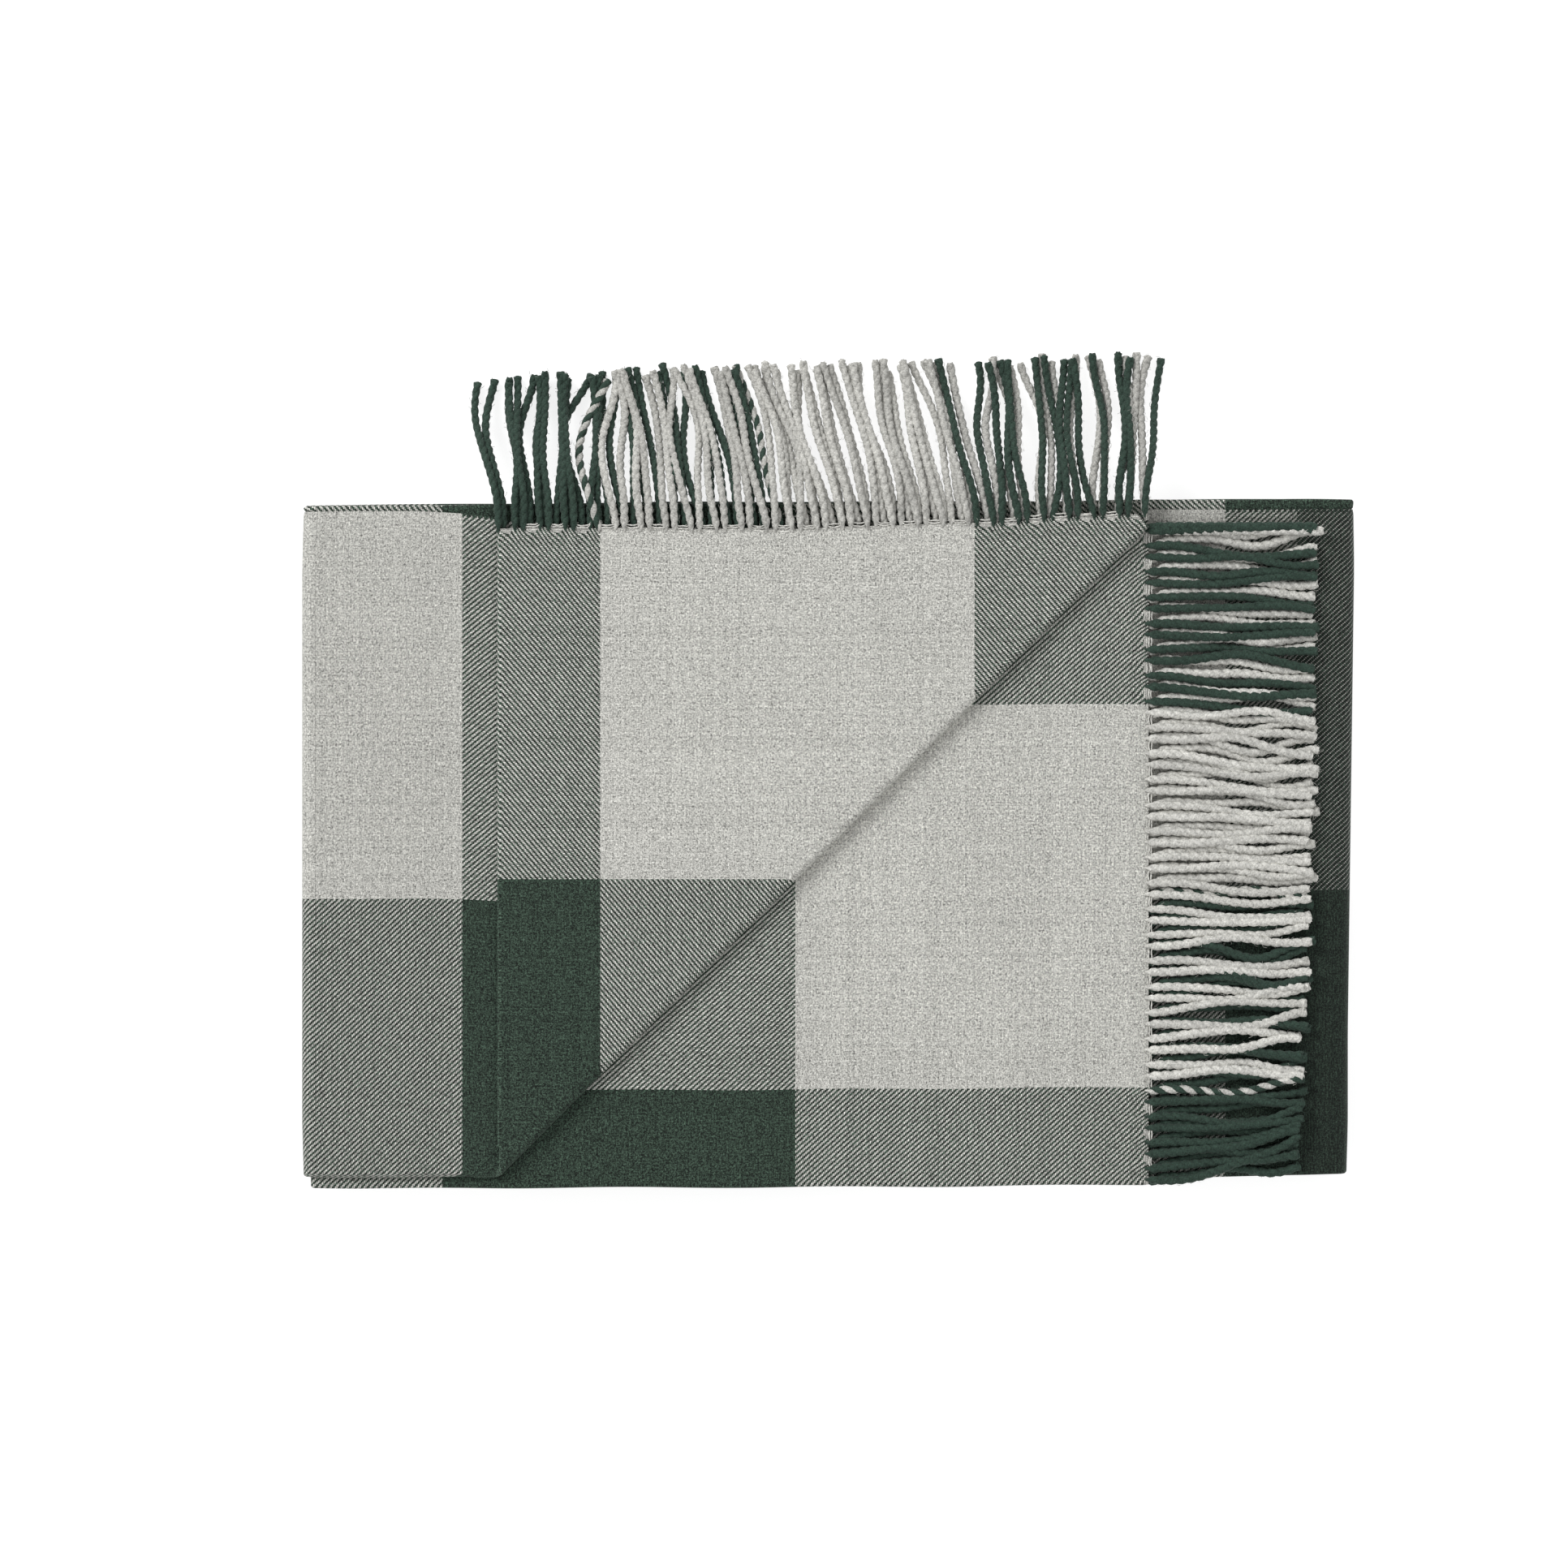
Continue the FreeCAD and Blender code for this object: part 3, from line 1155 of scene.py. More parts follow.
@dataclass
class Corner:
    """The free corner of plies 1 and 2, turned back over the pile along a diagonal crease.

    The flat fields are the sizes of its cloth when it is laid flat.
    """

    pile: PileFrame
    plan: ClothPlan
    roll: float = 2.9
    lead: float = 6.0
    fade: float = 7.0
    band: float = 0.14
    first_zero: float = 160.1
    check_w: float = 371.4
    check_x: float = -110.1
    check_y: float = -16.6
    stretch: float = 1.0322
    flat_side: float = 311.6
    flat_crease: float = 440.7
    flat_strip: float = 25.0
    flat_share: float = 0.93

    def __post_init__(self) -> None:
        """Find the crease's two ends."""
        pile = self.pile
        self.shift = pile.top_end - pile.flap_back
        self.start = np.array([pile.top_end, pile.flap_back])
        self.length = (pile.flap_back + pile.inner_front) * math.sqrt(2)
        self.away = np.array([-1.0, 1.0]) / math.sqrt(2)
        self.down = np.array([-1.0, -1.0]) / math.sqrt(2)

    def place(self, x: np.ndarray, y: np.ndarray) -> tuple[np.ndarray, np.ndarray]:
        """Find a place from the crease.

        Args:
            x: places along the pile.
            y: places across it.

        Returns:
            How far along the crease the places are, and how far behind it.
        """
        dx, dy = x - self.start[0], y - self.start[1]
        return dx * self.down[0] + dy * self.down[1], dx * self.away[0] + dy * self.away[1]

    def spot(self, along: np.ndarray, behind: np.ndarray) -> tuple[np.ndarray, np.ndarray]:
        """X and Y of places along the crease and behind it."""
        place = self.start + along[..., None] * self.down + behind[..., None] * self.away
        return place[..., 0], place[..., 1]

    def turned(self, height: np.ndarray) -> np.ndarray:
        """How far cloth at this height turns when the corner lies flat, in radians."""
        share = (height - self.pile.seam(16) + self.band) / (2 * self.band)
        return math.pi * ease(share)

    def radius(self, along: np.ndarray) -> np.ndarray:
        """Find the radius of the roll's outer ply, tighter at the crease's two ends.

        Args:
            along: places along the crease.

        Returns:
            The radius at each place.
        """
        least = 1.5 * self.pile.pitch
        full = ease(along / 55.0) * ease((self.length - along) / 70.0)
        wave = 1 + 0.08 * Ripple(23, (60.0, 105.0)).at(along)
        return least + (self.roll - least) * full * wave

    def centre(self, along: np.ndarray) -> np.ndarray:
        """How far behind the crease line the roll's axis is."""
        return self.radius(along) + self.pile.thick / 2

    def bound(self, along: np.ndarray) -> np.ndarray:
        """How far behind the crease line its strip of cloth ends."""
        return self.centre(along) + self.lead

    def cut(self, y: np.ndarray) -> np.ndarray:
        """Find where plies 1 and 2 end in the top panel.

        Args:
            y: places across the pile.

        Returns:
            The places along the pile.
        """
        x = y + self.shift
        for _ in range(4):
            along, _ = self.place(x, y)
            x = y + self.shift - math.sqrt(2) * self.bound(along)
        past = ease((y - self.pile.flap_back) / 4.0)
        return x * (1 - past) + self.pile.top_end * past

    def bump(self, along: np.ndarray, behind: np.ndarray) -> np.ndarray:
        """How much the flap stands up near the crease."""
        rise = 2 * self.radius(along) - 3 * self.pile.pitch
        far = np.maximum(behind - self.bound(along), 0) / self.fade
        return rise * (1 + far) * np.exp(-far)

    def hem(self, x: np.ndarray) -> np.ndarray:
        """Where the fringed edge of the flap lies."""
        rise = 2.3 * ease((x + 20.0) / 95.0) + 4.6 * ease((x - 60.0) / 85.0)
        return self.pile.flap_back - 0.6 + rise + 0.35 * Ripple(31, (40.0, 75.0)).at(x)

    def cloth(self, ply: int, x: np.ndarray, y: np.ndarray) -> tuple[np.ndarray, np.ndarray]:
        """Cloth coordinates of a place on the flap.

        Args:
            ply: 0 for ply 1 and 1 for ply 2.
            x: places along the pile.
            y: places across it.

        Returns:
            The coordinates w and u.
        """
        hem = self.hem(x)
        u = (hem - y) * self.plan.band / (hem - self.check_y)
        if ply == 0:
            return self.first_zero - x, u
        return self.check_w + (x - self.check_x) * self.stretch, u

    def along_first(self, w: np.ndarray) -> np.ndarray:
        """Where a place across ply 1 lies along the flap's hem."""
        return self.first_zero - w

    def along_second(self, w: np.ndarray) -> np.ndarray:
        """Where a place across ply 2 lies along the flap's hem."""
        return self.check_x + (w - self.check_w) / self.stretch

    def flap(self) -> SheetGrid:
        """The flat part of the turned-back corner: ply 1 under ply 2, joined at its left edge.

        Returns:
            The grid.
        """
        pile = self.pile
        low, high = pile.level(16), pile.level(17)
        count = 60
        shares = np.linspace(0, 1, count + 1) ** 1.15
        reach = math.sqrt(2) * float(self.bound(np.array(0.0))) - self.shift
        right = float(self.hem(np.array(pile.top_end - 7.0))) - reach - 1.0
        ply_x = pile.flap_left + shares * (right - pile.flap_left)
        rows: list[tuple[float, float, float, int]] = []
        for x in ply_x[::-1]:
            rows.append((float(x), 0.0, low, 0))
        middle, radius = (low + high) / 2, (high - low) / 2
        for part in range(1, 7):
            angle = math.pi * part / 7
            out = radius * 1.3 * math.sin(angle)
            rows.append((pile.flap_left, out, middle - radius * math.cos(angle), 0))
        for x in ply_x:
            rows.append((float(x), 0.0, high, 1))
        depth = np.concatenate([np.array([0, 0.01, 0.025, 0.05]), np.linspace(0.09, 1, 46)])
        points = np.zeros((len(rows), len(depth), 3))
        w, u = np.zeros(points.shape[:2]), np.zeros(points.shape[:2])
        for index, (x, out, z, ply) in enumerate(rows):
            back = float(self.hem(np.array(x)))
            front = x - self.shift
            for _ in range(4):
                along, _ = self.place(np.array(x), np.array(front))
                front = x - self.shift + math.sqrt(2) * float(self.bound(along))
            front = min(front, back - 0.4)
            y = back + depth * (front - back)
            xs = np.full_like(y, x)
            along, behind = self.place(xs, y)
            points[index] = np.stack([xs - out, y, z + self.bump(along, behind)], axis=-1)
            w[index], u[index] = self.cloth(ply, xs, y)
            if out:
                edge = self.cloth(0, xs, y)[0], self.cloth(1, xs, y)[0]
                share = (z - low) / (high - low)
                w[index] = edge[0] * (1 - share) + edge[1] * share
        half = (0.55 + 0.45 * ease(depth * 60))[None, :] * np.ones((len(rows), 1))
        return SheetGrid(points, w, u, half * pile.thick / 2)

    def columns(self) -> list[RollColumn]:
        """List the lines that run along the crease, from the pile round the roll to the flap.

        Returns:
            The lines in order.
        """
        below = [RollColumn(straight=float(share)) for share in np.linspace(-1, 0, 5)[:-1]]
        round_it = [RollColumn(angle=float(angle)) for angle in np.linspace(0, math.pi, 33)]
        above = [RollColumn(straight=float(share)) for share in np.linspace(0, 1, 5)[1:]]
        return below + round_it + above

    def rolled_out(self, columns: Sequence[RollColumn]) -> np.ndarray:
        """Find how far each line lies from the crease line when the roll is laid flat.

        Args:
            columns: the lines along the crease.

        Returns:
            The signed distances.
        """
        reach = self.roll + self.pile.thick / 2
        flat = np.zeros(len(columns))
        for index, column in enumerate(columns):
            if column.straight:
                flat[index] = column.straight * self.lead + math.copysign(reach, column.straight)
            else:
                flat[index] = (column.angle / math.pi * 2 - 1) * reach
        return flat

    def roll_ply(
        self, number: int, along: np.ndarray, columns: Sequence[RollColumn], inward: float = 0.0
    ) -> tuple[np.ndarray, np.ndarray]:
        """Follow one ply round the roll.

        Args:
            number: 0 for ply 1, on the inside, and 1 for ply 2.
            along: how far along the crease each row and column is.
            columns: the lines along the crease.
            inward: how far inside the ply's middle to follow it.

        Returns:
            The distances behind the crease line, and the heights.
        """
        outer = self.radius(along)
        radius = (outer if number == 1 else outer - self.pile.pitch) - inward
        centre = self.centre(along)
        axis = self.pile.level(14) + outer
        behind, height = np.zeros_like(along), np.zeros_like(along)
        for index, column in enumerate(columns):
            r, c = radius[:, index], centre[:, index]
            if column.straight:
                behind[:, index] = c + abs(column.straight) * self.lead
                height[:, index] = axis[:, index] + math.copysign(1, column.straight) * r
            else:
                behind[:, index] = c - r * math.sin(column.angle)
                height[:, index] = axis[:, index] - r * math.cos(column.angle)
        return behind, height

    def folded_edge(self, end_1: np.ndarray, end_2: np.ndarray) -> np.ndarray:
        """Join the ends of the two plies by a half turn, as their bend does.

        Args:
            end_1: the last row of ply 1.
            end_2: the last row of ply 2.

        Returns:
            The rows between them.
        """
        middle, spoke = (end_1 + end_2) / 2, (end_1 - end_2) / 2
        tangent = np.gradient(middle, axis=0)
        tangent /= np.linalg.norm(tangent, axis=1, keepdims=True)
        outward = (np.append(self.down, 0.0)[None, :] + tangent) / math.sqrt(2)
        size = np.linalg.norm(spoke, axis=1, keepdims=True)
        bend = []
        for part in range(1, 7):
            turn = math.pi * part / 7
            bend.append(middle + spoke * math.cos(turn) + outward * size * math.sin(turn))
        return np.array(bend)

    def crease(self) -> SheetGrid:
        """Make the soft roll of cloth between the top panel and the flap.

        Returns:
            The grid.
        """
        pile, columns = self.pile, self.columns()
        flat = self.rolled_out(columns)
        shares = np.linspace(0, 1, 71)
        first = np.maximum(-flat, 0.0)[None, :] * 0.75
        last = self.length - flat[None, :]
        along = first + shares[:, None] * (last - first)
        tables = []
        for number in (0, 1):
            behind, height = self.roll_ply(number, along, columns)
            tables.append(np.stack([*self.spot(along, behind), height], axis=-1))
        bend = self.folded_edge(tables[0][-1], tables[1][-1])
        points = np.concatenate([tables[0], bend, tables[1][::-1]])
        behind, height = self.roll_ply(0, along, columns, pile.thick / 2)
        turn = self.turned(height)
        opened = (height - pile.seam(16)) * np.sin(turn) - behind * np.cos(turn)
        rolled = np.broadcast_to(flat[None, :], along.shape)
        w1, u1 = self.cloth(0, *self.spot(along, opened))
        w2, u2 = self.cloth(1, *self.spot(along, rolled))
        mix = np.linspace(0, 1, 8)[1:-1, None]
        w = np.concatenate([w1, w1[-1] * (1 - mix) + w2[-1] * mix, w2[::-1]])
        u = np.concatenate([u1, u1[-1] * (1 - mix) + u2[-1] * mix, u2[::-1]])
        half = np.full(w.shape, pile.thick / 2)
        return SheetGrid(points, w, u, half)


# ---------------------------------------------------------------- the fringe


@dataclass(frozen=True)
class Hem:
    """A fringed end: how its plies' cloth coordinate runs along it and where it lies."""

    along_y: bool
    edge: Callable[[np.ndarray], np.ndarray]
    lean: Callable[[np.ndarray], np.ndarray]
    reach: Callable[[np.ndarray], np.ndarray]

    def world(self, h: np.ndarray, out: np.ndarray, z: np.ndarray) -> np.ndarray:
        """Turn places at the hem into places in the frame.

        Args:
            h: distances along the hem.
            out: distances out from it.
            z: heights.

        Returns:
            The places in the frame.
        """
        edge = self.edge(h)
        if self.along_y:
            return np.stack([edge + out, h, z], axis=-1)
        return np.stack([h, edge + out, z], axis=-1)


def stations(*pairs: tuple[float, float]) -> Callable[[np.ndarray], np.ndarray]:
    """A line through given stations.

    Args:
        pairs: each a place and the value there.

    Returns:
        A function from places to values.
    """
    places, values = [p[0] for p in pairs], [p[1] for p in pairs]
    return lambda h: np.interp(h, places, values)


@dataclass(frozen=True)
class Bunches:
    """Places along a hem where neighbouring strands cling together, leaving gaps between."""

    seed: int
    strength: Callable[[np.ndarray], np.ndarray]
    shift: Callable[[np.ndarray], np.ndarray] = stations((0.0, 0.0))
    low: float = -180.0
    high: float = 180.0
    spacing: float = 12.6

    def toward(self, slot: float, which: int) -> float:
        """How far away the nearest bunch is.

        Args:
            slot: the strand's place along the hem.
            which: 0 for the bunches halfway out and 1 for those at the tips.

        Returns:
            The signed distance along the hem.
        """
        rng = np.random.default_rng(self.seed + which)
        count = int((self.high - self.low) / self.spacing)
        centres = self.low + (np.arange(count) + 0.5) * self.spacing
        centres = centres + rng.normal(0, 0.2 * self.spacing, count)
        centres = centres + self.shift(centres)
        gaps = centres - slot
        return float(gaps[np.argmin(np.abs(gaps))])

    def pull(self, slot: float, share: np.ndarray, will: float) -> np.ndarray:
        """How far a strand is drawn aside on its way out.

        Args:
            slot: the strand's place along the hem.
            share: how far out, from 0 at the hem to 1 at the tip.
            will: how readily this strand clings, from 0 to 1.

        Returns:
            The distance along the hem.
        """
        strength = will * float(self.strength(np.array(slot)))
        halfway = np.sin(np.pi * np.clip(share / 1.15, 0, 1)) ** 2
        tip = ease((share - 0.55) / 0.45)
        return strength * (self.toward(slot, 0) * halfway + 0.8 * self.toward(slot, 1) * tip)


@dataclass
class FringeRow:
    """The twisted strands of one ply at one fringed end."""

    name: str
    node: str
    plan: ClothPlan
    hem: Hem
    w_low: float
    w_high: float
    place: Callable[[np.ndarray], np.ndarray]
    level: float
    rest: Callable[[np.ndarray], np.ndarray]
    seed: int
    radius: float = 2.0
    pitch: float = 9.6
    wander: float = 2.3
    own_way: float = 1.0
    pairing: float = 0.68
    sidestep: float = 0.0
    drift_seed: int = 0
    bunches: Optional[Bunches] = None
    stray: dict[int, tuple[float, float]] = field(default_factory=dict)
    bounds: tuple[float, float] = (-400.0, 400.0)
    most_lift: float = 7.0
    # Brightness of the row's light yarn; the flap's rows take values below 1 as painted shade.
    pale: float = 1.0
    start: float = -1.8
    samples: int = 46

    def strands(self) -> list[float]:
        """List the cloth coordinate of each strand of the row.

        Returns:
            The coordinates in order.
        """
        step = self.plan.root / 2
        first = math.ceil((self.w_low - step / 2) / step)
        last = math.floor((self.w_high - step / 2) / step)
        return [step * (n + 0.5) for n in range(first, last + 1)]

    def lines(self, below: list[np.ndarray]) -> list[np.ndarray]:
        """Centre lines as distance along the hem, distance out, height and thickness share.

        Args:
            below: the lines that this row lies on.

        Returns:
            One array for each strand.
        """
        rng = np.random.default_rng(self.seed)
        step = self.plan.root
        made: list[np.ndarray] = []
        drift = Ripple(self.drift_seed or self.seed, (34.0, 52.0, 83.0))
        for number, w in enumerate(self.strands()):
            pair = step * (math.floor(w / step) + 0.5)
            slot = float(self.place(np.array(w)))
            root = float(self.place(np.array(pair + (w - pair) * self.pairing)))
            length = float(self.hem.reach(np.array(slot))) + rng.normal(0, 1.3)
            out = np.linspace(self.start, length, self.samples)
            open_up = ease(out / 17.0)
            far = ease(out / 60.0)
            share = np.clip(out / 80.0, 0, 1)
            h = root + (slot - root) * open_up
            h = h + self.sidestep * ease(out / 9.0)
            if self.bunches is not None:
                h = h + self.bunches.pull(slot, np.clip(out / length, 0, 1), rng.uniform(0.5, 1.0))
            h = h + float(self.hem.lean(np.array(slot))) * share**1.25
            h = h + self.wander * far * drift.at(np.full_like(out, slot), out * 0.9)
            phase, size = rng.uniform(0, TAU), rng.uniform(0.4, 1.5) * self.own_way
            h = h + size * far * np.sin(out / rng.uniform(9.0, 19.0) + phase)
            if number in self.stray:
                early, late = self.stray[number]
                h = h + early * np.sin(np.pi * share) + late * share**2
            h = held_back(h, *self.bounds)
            thick = 0.25 + 0.75 * ease((out - self.start) / 4.4)
            thick = thick * (1 + 0.10 * ease((out - length + 5.0) / 5.0))
            thick = thick * (1 + 0.05 * math.sin(phase * 3))
            base = self.rest(out) + self.radius * thick
            z = self.level + (base - self.level) * ease((out + 1.0) / 9.0)
            line = np.stack([h, out, z, thick], axis=-1)
            made.append(self.lifted(line, [*below, *made]))
        return made

    def lifted(self, line: np.ndarray, others: list[np.ndarray]) -> np.ndarray:
        """Raise a strand to lie on the strands that it crosses.

        Args:
            line: the strand.
            others: the strands already in place.

        Returns:
            The raised strand.
        """
        out = line[:, 1]
        need = np.zeros(len(line))
        for other in others:
            if abs(other[0, 0] - line[0, 0]) > 34.0:
                continue
            h = np.interp(out, other[:, 1], other[:, 0])
            z = np.interp(out, other[:, 1], other[:, 2], right=-99.0)
            thick = np.interp(out, other[:, 1], other[:, 3])
            close = 0.86 * self.radius * (line[:, 3] + thick)
            gap = np.abs(h - line[:, 0])
            clear = np.sqrt(np.maximum(close**2 - gap**2, 0.0))
            lift = np.where(gap < close, z + clear - line[:, 2], 0.0)
            need = np.maximum(need, lift * ease((out - 1.0) / 8.0))
        reach = 5
        kernel = np.hanning(2 * reach + 3)[1:-1]
        top = np.array(
            [need[max(0, i - 2) : i + 3].max() for i in range(len(need))]
        )
        padded = np.pad(top, reach, mode="edge")
        smooth = np.convolve(padded, kernel / kernel.sum(), mode="valid")
        line[:, 2] += self.most_lift * (1 - np.exp(-smooth / self.most_lift))
        return line

    def guide(self, lines: list[np.ndarray], settle: Settle) -> bpy.types.Mesh:
        """A mesh of plain lines with what each strand needs to be spun along it.

        Args:
            lines: the strands' centre lines.
            settle: how the pile has settled.

        Returns:
            The mesh of lines.
        """
        rng = np.random.default_rng(self.seed + 5)
        points, edges, tone_a, tone_b, thick, phase, pale = [], [], [], [], [], [], []
        start = 0
        for w, line in zip(self.strands(), lines):
            spots = settle.apply(self.hem.world(line[:, 0], line[:, 1], line[:, 2])) * MM
            points.append(spots)
            count = len(line)
            edges += [(start + i, start + i + 1) for i in range(count - 1)]
            start += count
            quarter = self.plan.root / 8
            tone_a += [float(self.plan.warp_is_green(w - quarter))] * count
            tone_b += [float(self.plan.warp_is_green(w + quarter))] * count
            thick += line[:, 3].tolist()
            phase += [float(rng.uniform(0, TAU))] * count
            pale += [self.pale * float(rng.uniform(0.9, 1.1))] * count
        features = {"tone_a": tone_a, "tone_b": tone_b, "thick": thick, "phase": phase, "pale": pale}
        return line_mesh(self.name + "_lines", np.concatenate(points), edges, features)


@dataclass
class HemThreads:
    """The last weft threads of a fringed end, loose between the roots of its strands."""

    name: str
    plan: ClothPlan
    hem: Hem
    w_low: float
    w_high: float
    place: Callable[[np.ndarray], np.ndarray]
    pairing: float
    height: float
    seed: int
    outs: tuple[float, ...] = (0.2, 1.35)
    samples: int = 13

    def guide(self, settle: Settle) -> bpy.types.Mesh:
        """A mesh of plain lines, two between every two pairs of strands.

        Args:
            settle: how the pile has settled.

        Returns:
            The mesh of lines.
        """
        rng = np.random.default_rng(self.seed)
        step = self.plan.root
        first, last = math.ceil(self.w_low / step - 0.5), math.floor(self.w_high / step - 0.5)
        points, edges, thick, phase = [], [], [], []
        share = np.linspace(0, 1, self.samples)
        for number in range(first, last):
            low = float(self.place(np.array(step * (number + 0.5 + 0.25 * self.pairing))))
            high = float(self.place(np.array(step * (number + 1.5 - 0.25 * self.pairing))))
            for out in self.outs:
                sag = rng.normal(0, 0.22) * np.sin(np.pi * share)
                flare = (1.5 + rng.normal(0, 0.5)) * np.abs(2 * share - 1) ** 5
                h = low + (high - low) * share
                away = out + sag + flare
                z = self.height + 0.5 * np.sin(np.pi * share) + 0.9 * np.abs(2 * share - 1) ** 3
                edges += [(len(thick) + i, len(thick) + i + 1) for i in range(len(h) - 1)]
                points.append(settle.apply(self.hem.world(h, away, z)) * MM)
                thick += (1 - 0.45 * np.abs(2 * share - 1) ** 4).tolist()
                phase += [float(rng.uniform(0, TAU))] * len(h)
        tone, pale = [0.0] * len(thick), [1.15] * len(thick)
        features = {"tone_a": tone, "thick": thick, "phase": phase, "pale": pale}
        return line_mesh(self.name + "_lines", np.concatenate(points), edges, features)


@dataclass
class Spinner:
    """Geometry Nodes that spin two-ply strands, or single threads, along plain lines."""

    material: bpy.types.Material
    fibre: float = 0.00007

    def __post_init__(self) -> None:
        """Build the two trees."""
        self.two_ply = self._tree("spin_two_ply", 2)
        self.single = self._tree("spin_single", 1)

    def _inputs(self, tree: bpy.types.NodeTree) -> None:
        """Give a tree its named inputs, with lengths in metres.

        Args:
            tree: the tree.
        """
        face = tree.interface
        face.new_socket("Geometry", in_out="OUTPUT", socket_type="NodeSocketGeometry")
        face.new_socket("Geometry", in_out="INPUT", socket_type="NodeSocketGeometry")
        for label, value in (
            ("Ply Radius", 0.0009),
            ("Lay Radius", 0.0008),
            ("Lay Length", 0.0086),
            ("Step", 0.0016),
            ("Fuzz Density", 0.0),
            ("Fuzz Length", 0.0021),
        ):
            made = face.new_socket(label, in_out="INPUT", socket_type="NodeSocketFloat")
            made.default_value = value
        sides = face.new_socket("Sides", in_out="INPUT", socket_type="NodeSocketInt")
        sides.default_value = 7

    def _profile(self, g: Graph, given: bpy.types.Node) -> Wire:
        """Make the round section of a ply, marked with where each point is round it.

        Args:
            g: the tree to add to.
            given: the tree's input node.

        Returns:
            The section as a curve.
        """
        circle = g.node("GeometryNodeCurvePrimitiveCircle", {"mode": "RADIUS"})
        g.feed(circle.inputs["Resolution"], g.wire(given, "Sides"))
        g.feed(circle.inputs["Radius"], g.wire(given, "Ply Radius"))
        turn = g.wire(g.node("GeometryNodeSplineParameter"), "Factor") * TAU
        profile = g.keep(g.wire(circle), "round_x", g.math("COSINE", turn))
        return g.keep(profile, "round_y", turn.sine())

    def _ply(self, g: Graph, given: bpy.types.Node, spaced: Wire, profile: Wire, ply: int) -> Wire:
        """Lay one ply round the centre lines.

        Args:
            g: the tree to add to.
            given: the tree's input node.
            spaced: the centre lines.
            profile: the ply's section.
            ply: its number.

        Returns:
            The ply as a mesh with its tone.
        """
        tangent = g.wire(g.node("GeometryNodeInputTangent"))
        normal = g.wire(g.node("GeometryNodeInputNormal"))
        cross = {"operation": "CROSS_PRODUCT"}
        beside = g.wire(g.node("ShaderNodeVectorMath", cross, {0: tangent, 1: normal}))
        angle = g.named("along") / g.wire(given, "Lay Length") * TAU + g.named("phase")
        angle = angle + ply * math.pi
        lay = g.wire(given, "Lay Radius") * g.named("thick")
        up = g.times(normal, g.math("COSINE", angle) * lay)
        across = g.times(beside, angle.sine() * lay)
        shift = g.wire(g.node("ShaderNodeVectorMath", {"operation": "ADD"}, {0: up, 1: across}))
        values = {"Geometry": spaced, "Offset": shift}
        laid = g.wire(g.node("GeometryNodeSetPosition", None, values))
        values = {"Curve": laid, "Radius": g.named("thick")}
        laid = g.wire(g.node("GeometryNodeSetCurveRadius", None, values))
        values = {"Curve": laid, "Profile Curve": profile, "Fill Caps": True}
        sweep = g.node("GeometryNodeCurveToMesh", None, values)
        scale = sweep.inputs.get("Scale")
        if scale is not None:
            g.feed(scale, g.named("thick"))
        return g.keep(g.wire(sweep), "tone", g.named("tone_a" if ply == 0 else "tone_b"))

    def _tree(self, name: str, plies: int) -> bpy.types.NodeTree:
        """Build one tree.

        Args:
            name: the tree's name.
            plies: how many plies are laid together.

        Returns:
            The tree.
        """
        tree = bpy.data.node_groups.new(name, "GeometryNodeTree")
        self._inputs(tree)
        g = Graph(tree)
        given = g.node("NodeGroupInput")
        end = g.node("NodeGroupOutput")
        lines = g.wire(g.node("GeometryNodeMeshToCurve", None, {0: g.wire(given, "Geometry")}))
        values = {"Curve": lines, "Length": g.wire(given, "Step")}
        spaced = g.wire(g.node("GeometryNodeResampleCurve", {"mode": "LENGTH"}, values))
        length = g.wire(g.node("GeometryNodeSplineParameter"), "Length")
        spaced = g.keep(spaced, "along", length)
        profile = self._profile(g, given)
        parts = [self._ply(g, given, spaced, profile, ply) for ply in range(plies)]
        join = g.node("GeometryNodeJoinGeometry")
        for part in reversed(parts):
            tree.links.new(part.socket, join.inputs[0])
        spun = g.wire(join)
        whole = g.node("GeometryNodeJoinGeometry")
        tree.links.new(self._fuzz(g, given, spun).socket, whole.inputs[0])
        tree.links.new(spun.socket, whole.inputs[0])
        smooth = g.node("GeometryNodeSetShadeSmooth", None, {"Geometry": g.wire(whole)})
        real = g.node("GeometryNodeRealizeInstances", None, {0: g.wire(smooth)})
        values = {"Geometry": g.wire(real), "Material": self.material}
        painted = g.node("GeometryNodeSetMaterial", None, values)
        g.feed(end.inputs[0], g.wire(painted))
        return tree

    def _fuzz(self, g: Graph, given: bpy.types.Node, spun: Wire) -> Wire:
        """Scatter short bent fibres over spun strands.

        Args:
            g: the tree to add to.
            given: the tree's input node.
            spun: the strands.

        Returns:
            The fibres as instances.
        """
        long = g.wire(given, "Fuzz Length")
        values = {
            "Start": g.joined(0.0, 0.0, -0.0003),
            "Start Handle": g.joined(0.0, 0.0, long * 0.3),
            "End Handle": g.joined(long * 0.4, 0.0, long * 0.45),
            "End": g.joined(long, 0.0, long * 0.22),
            "Resolution": 3,
        }
        arc = g.wire(g.node("GeometryNodeCurvePrimitiveBezierSegment", {"mode": "POSITION"}, values))
        values = {"Resolution": 3, "Radius": self.fibre}
        ring = g.node("GeometryNodeCurvePrimitiveCircle", {"mode": "RADIUS"}, values)
        values = {"Curve": arc, "Profile Curve": g.wire(ring), "Fill Caps": True}
        fibre = g.wire(g.node("GeometryNodeCurveToMesh", None, values))
        settings = {"distribute_method": "RANDOM"}
        values = {"Mesh": spun, "Density": g.wire(given, "Fuzz Density"), "Seed": 17}
        spread = g.node("GeometryNodeDistributePointsOnFaces", settings, values)
        turn = g.node("FunctionNodeRandomValue", {"data_type": "FLOAT"}, {2: 0.0, 3: TAU, "Seed": 5})
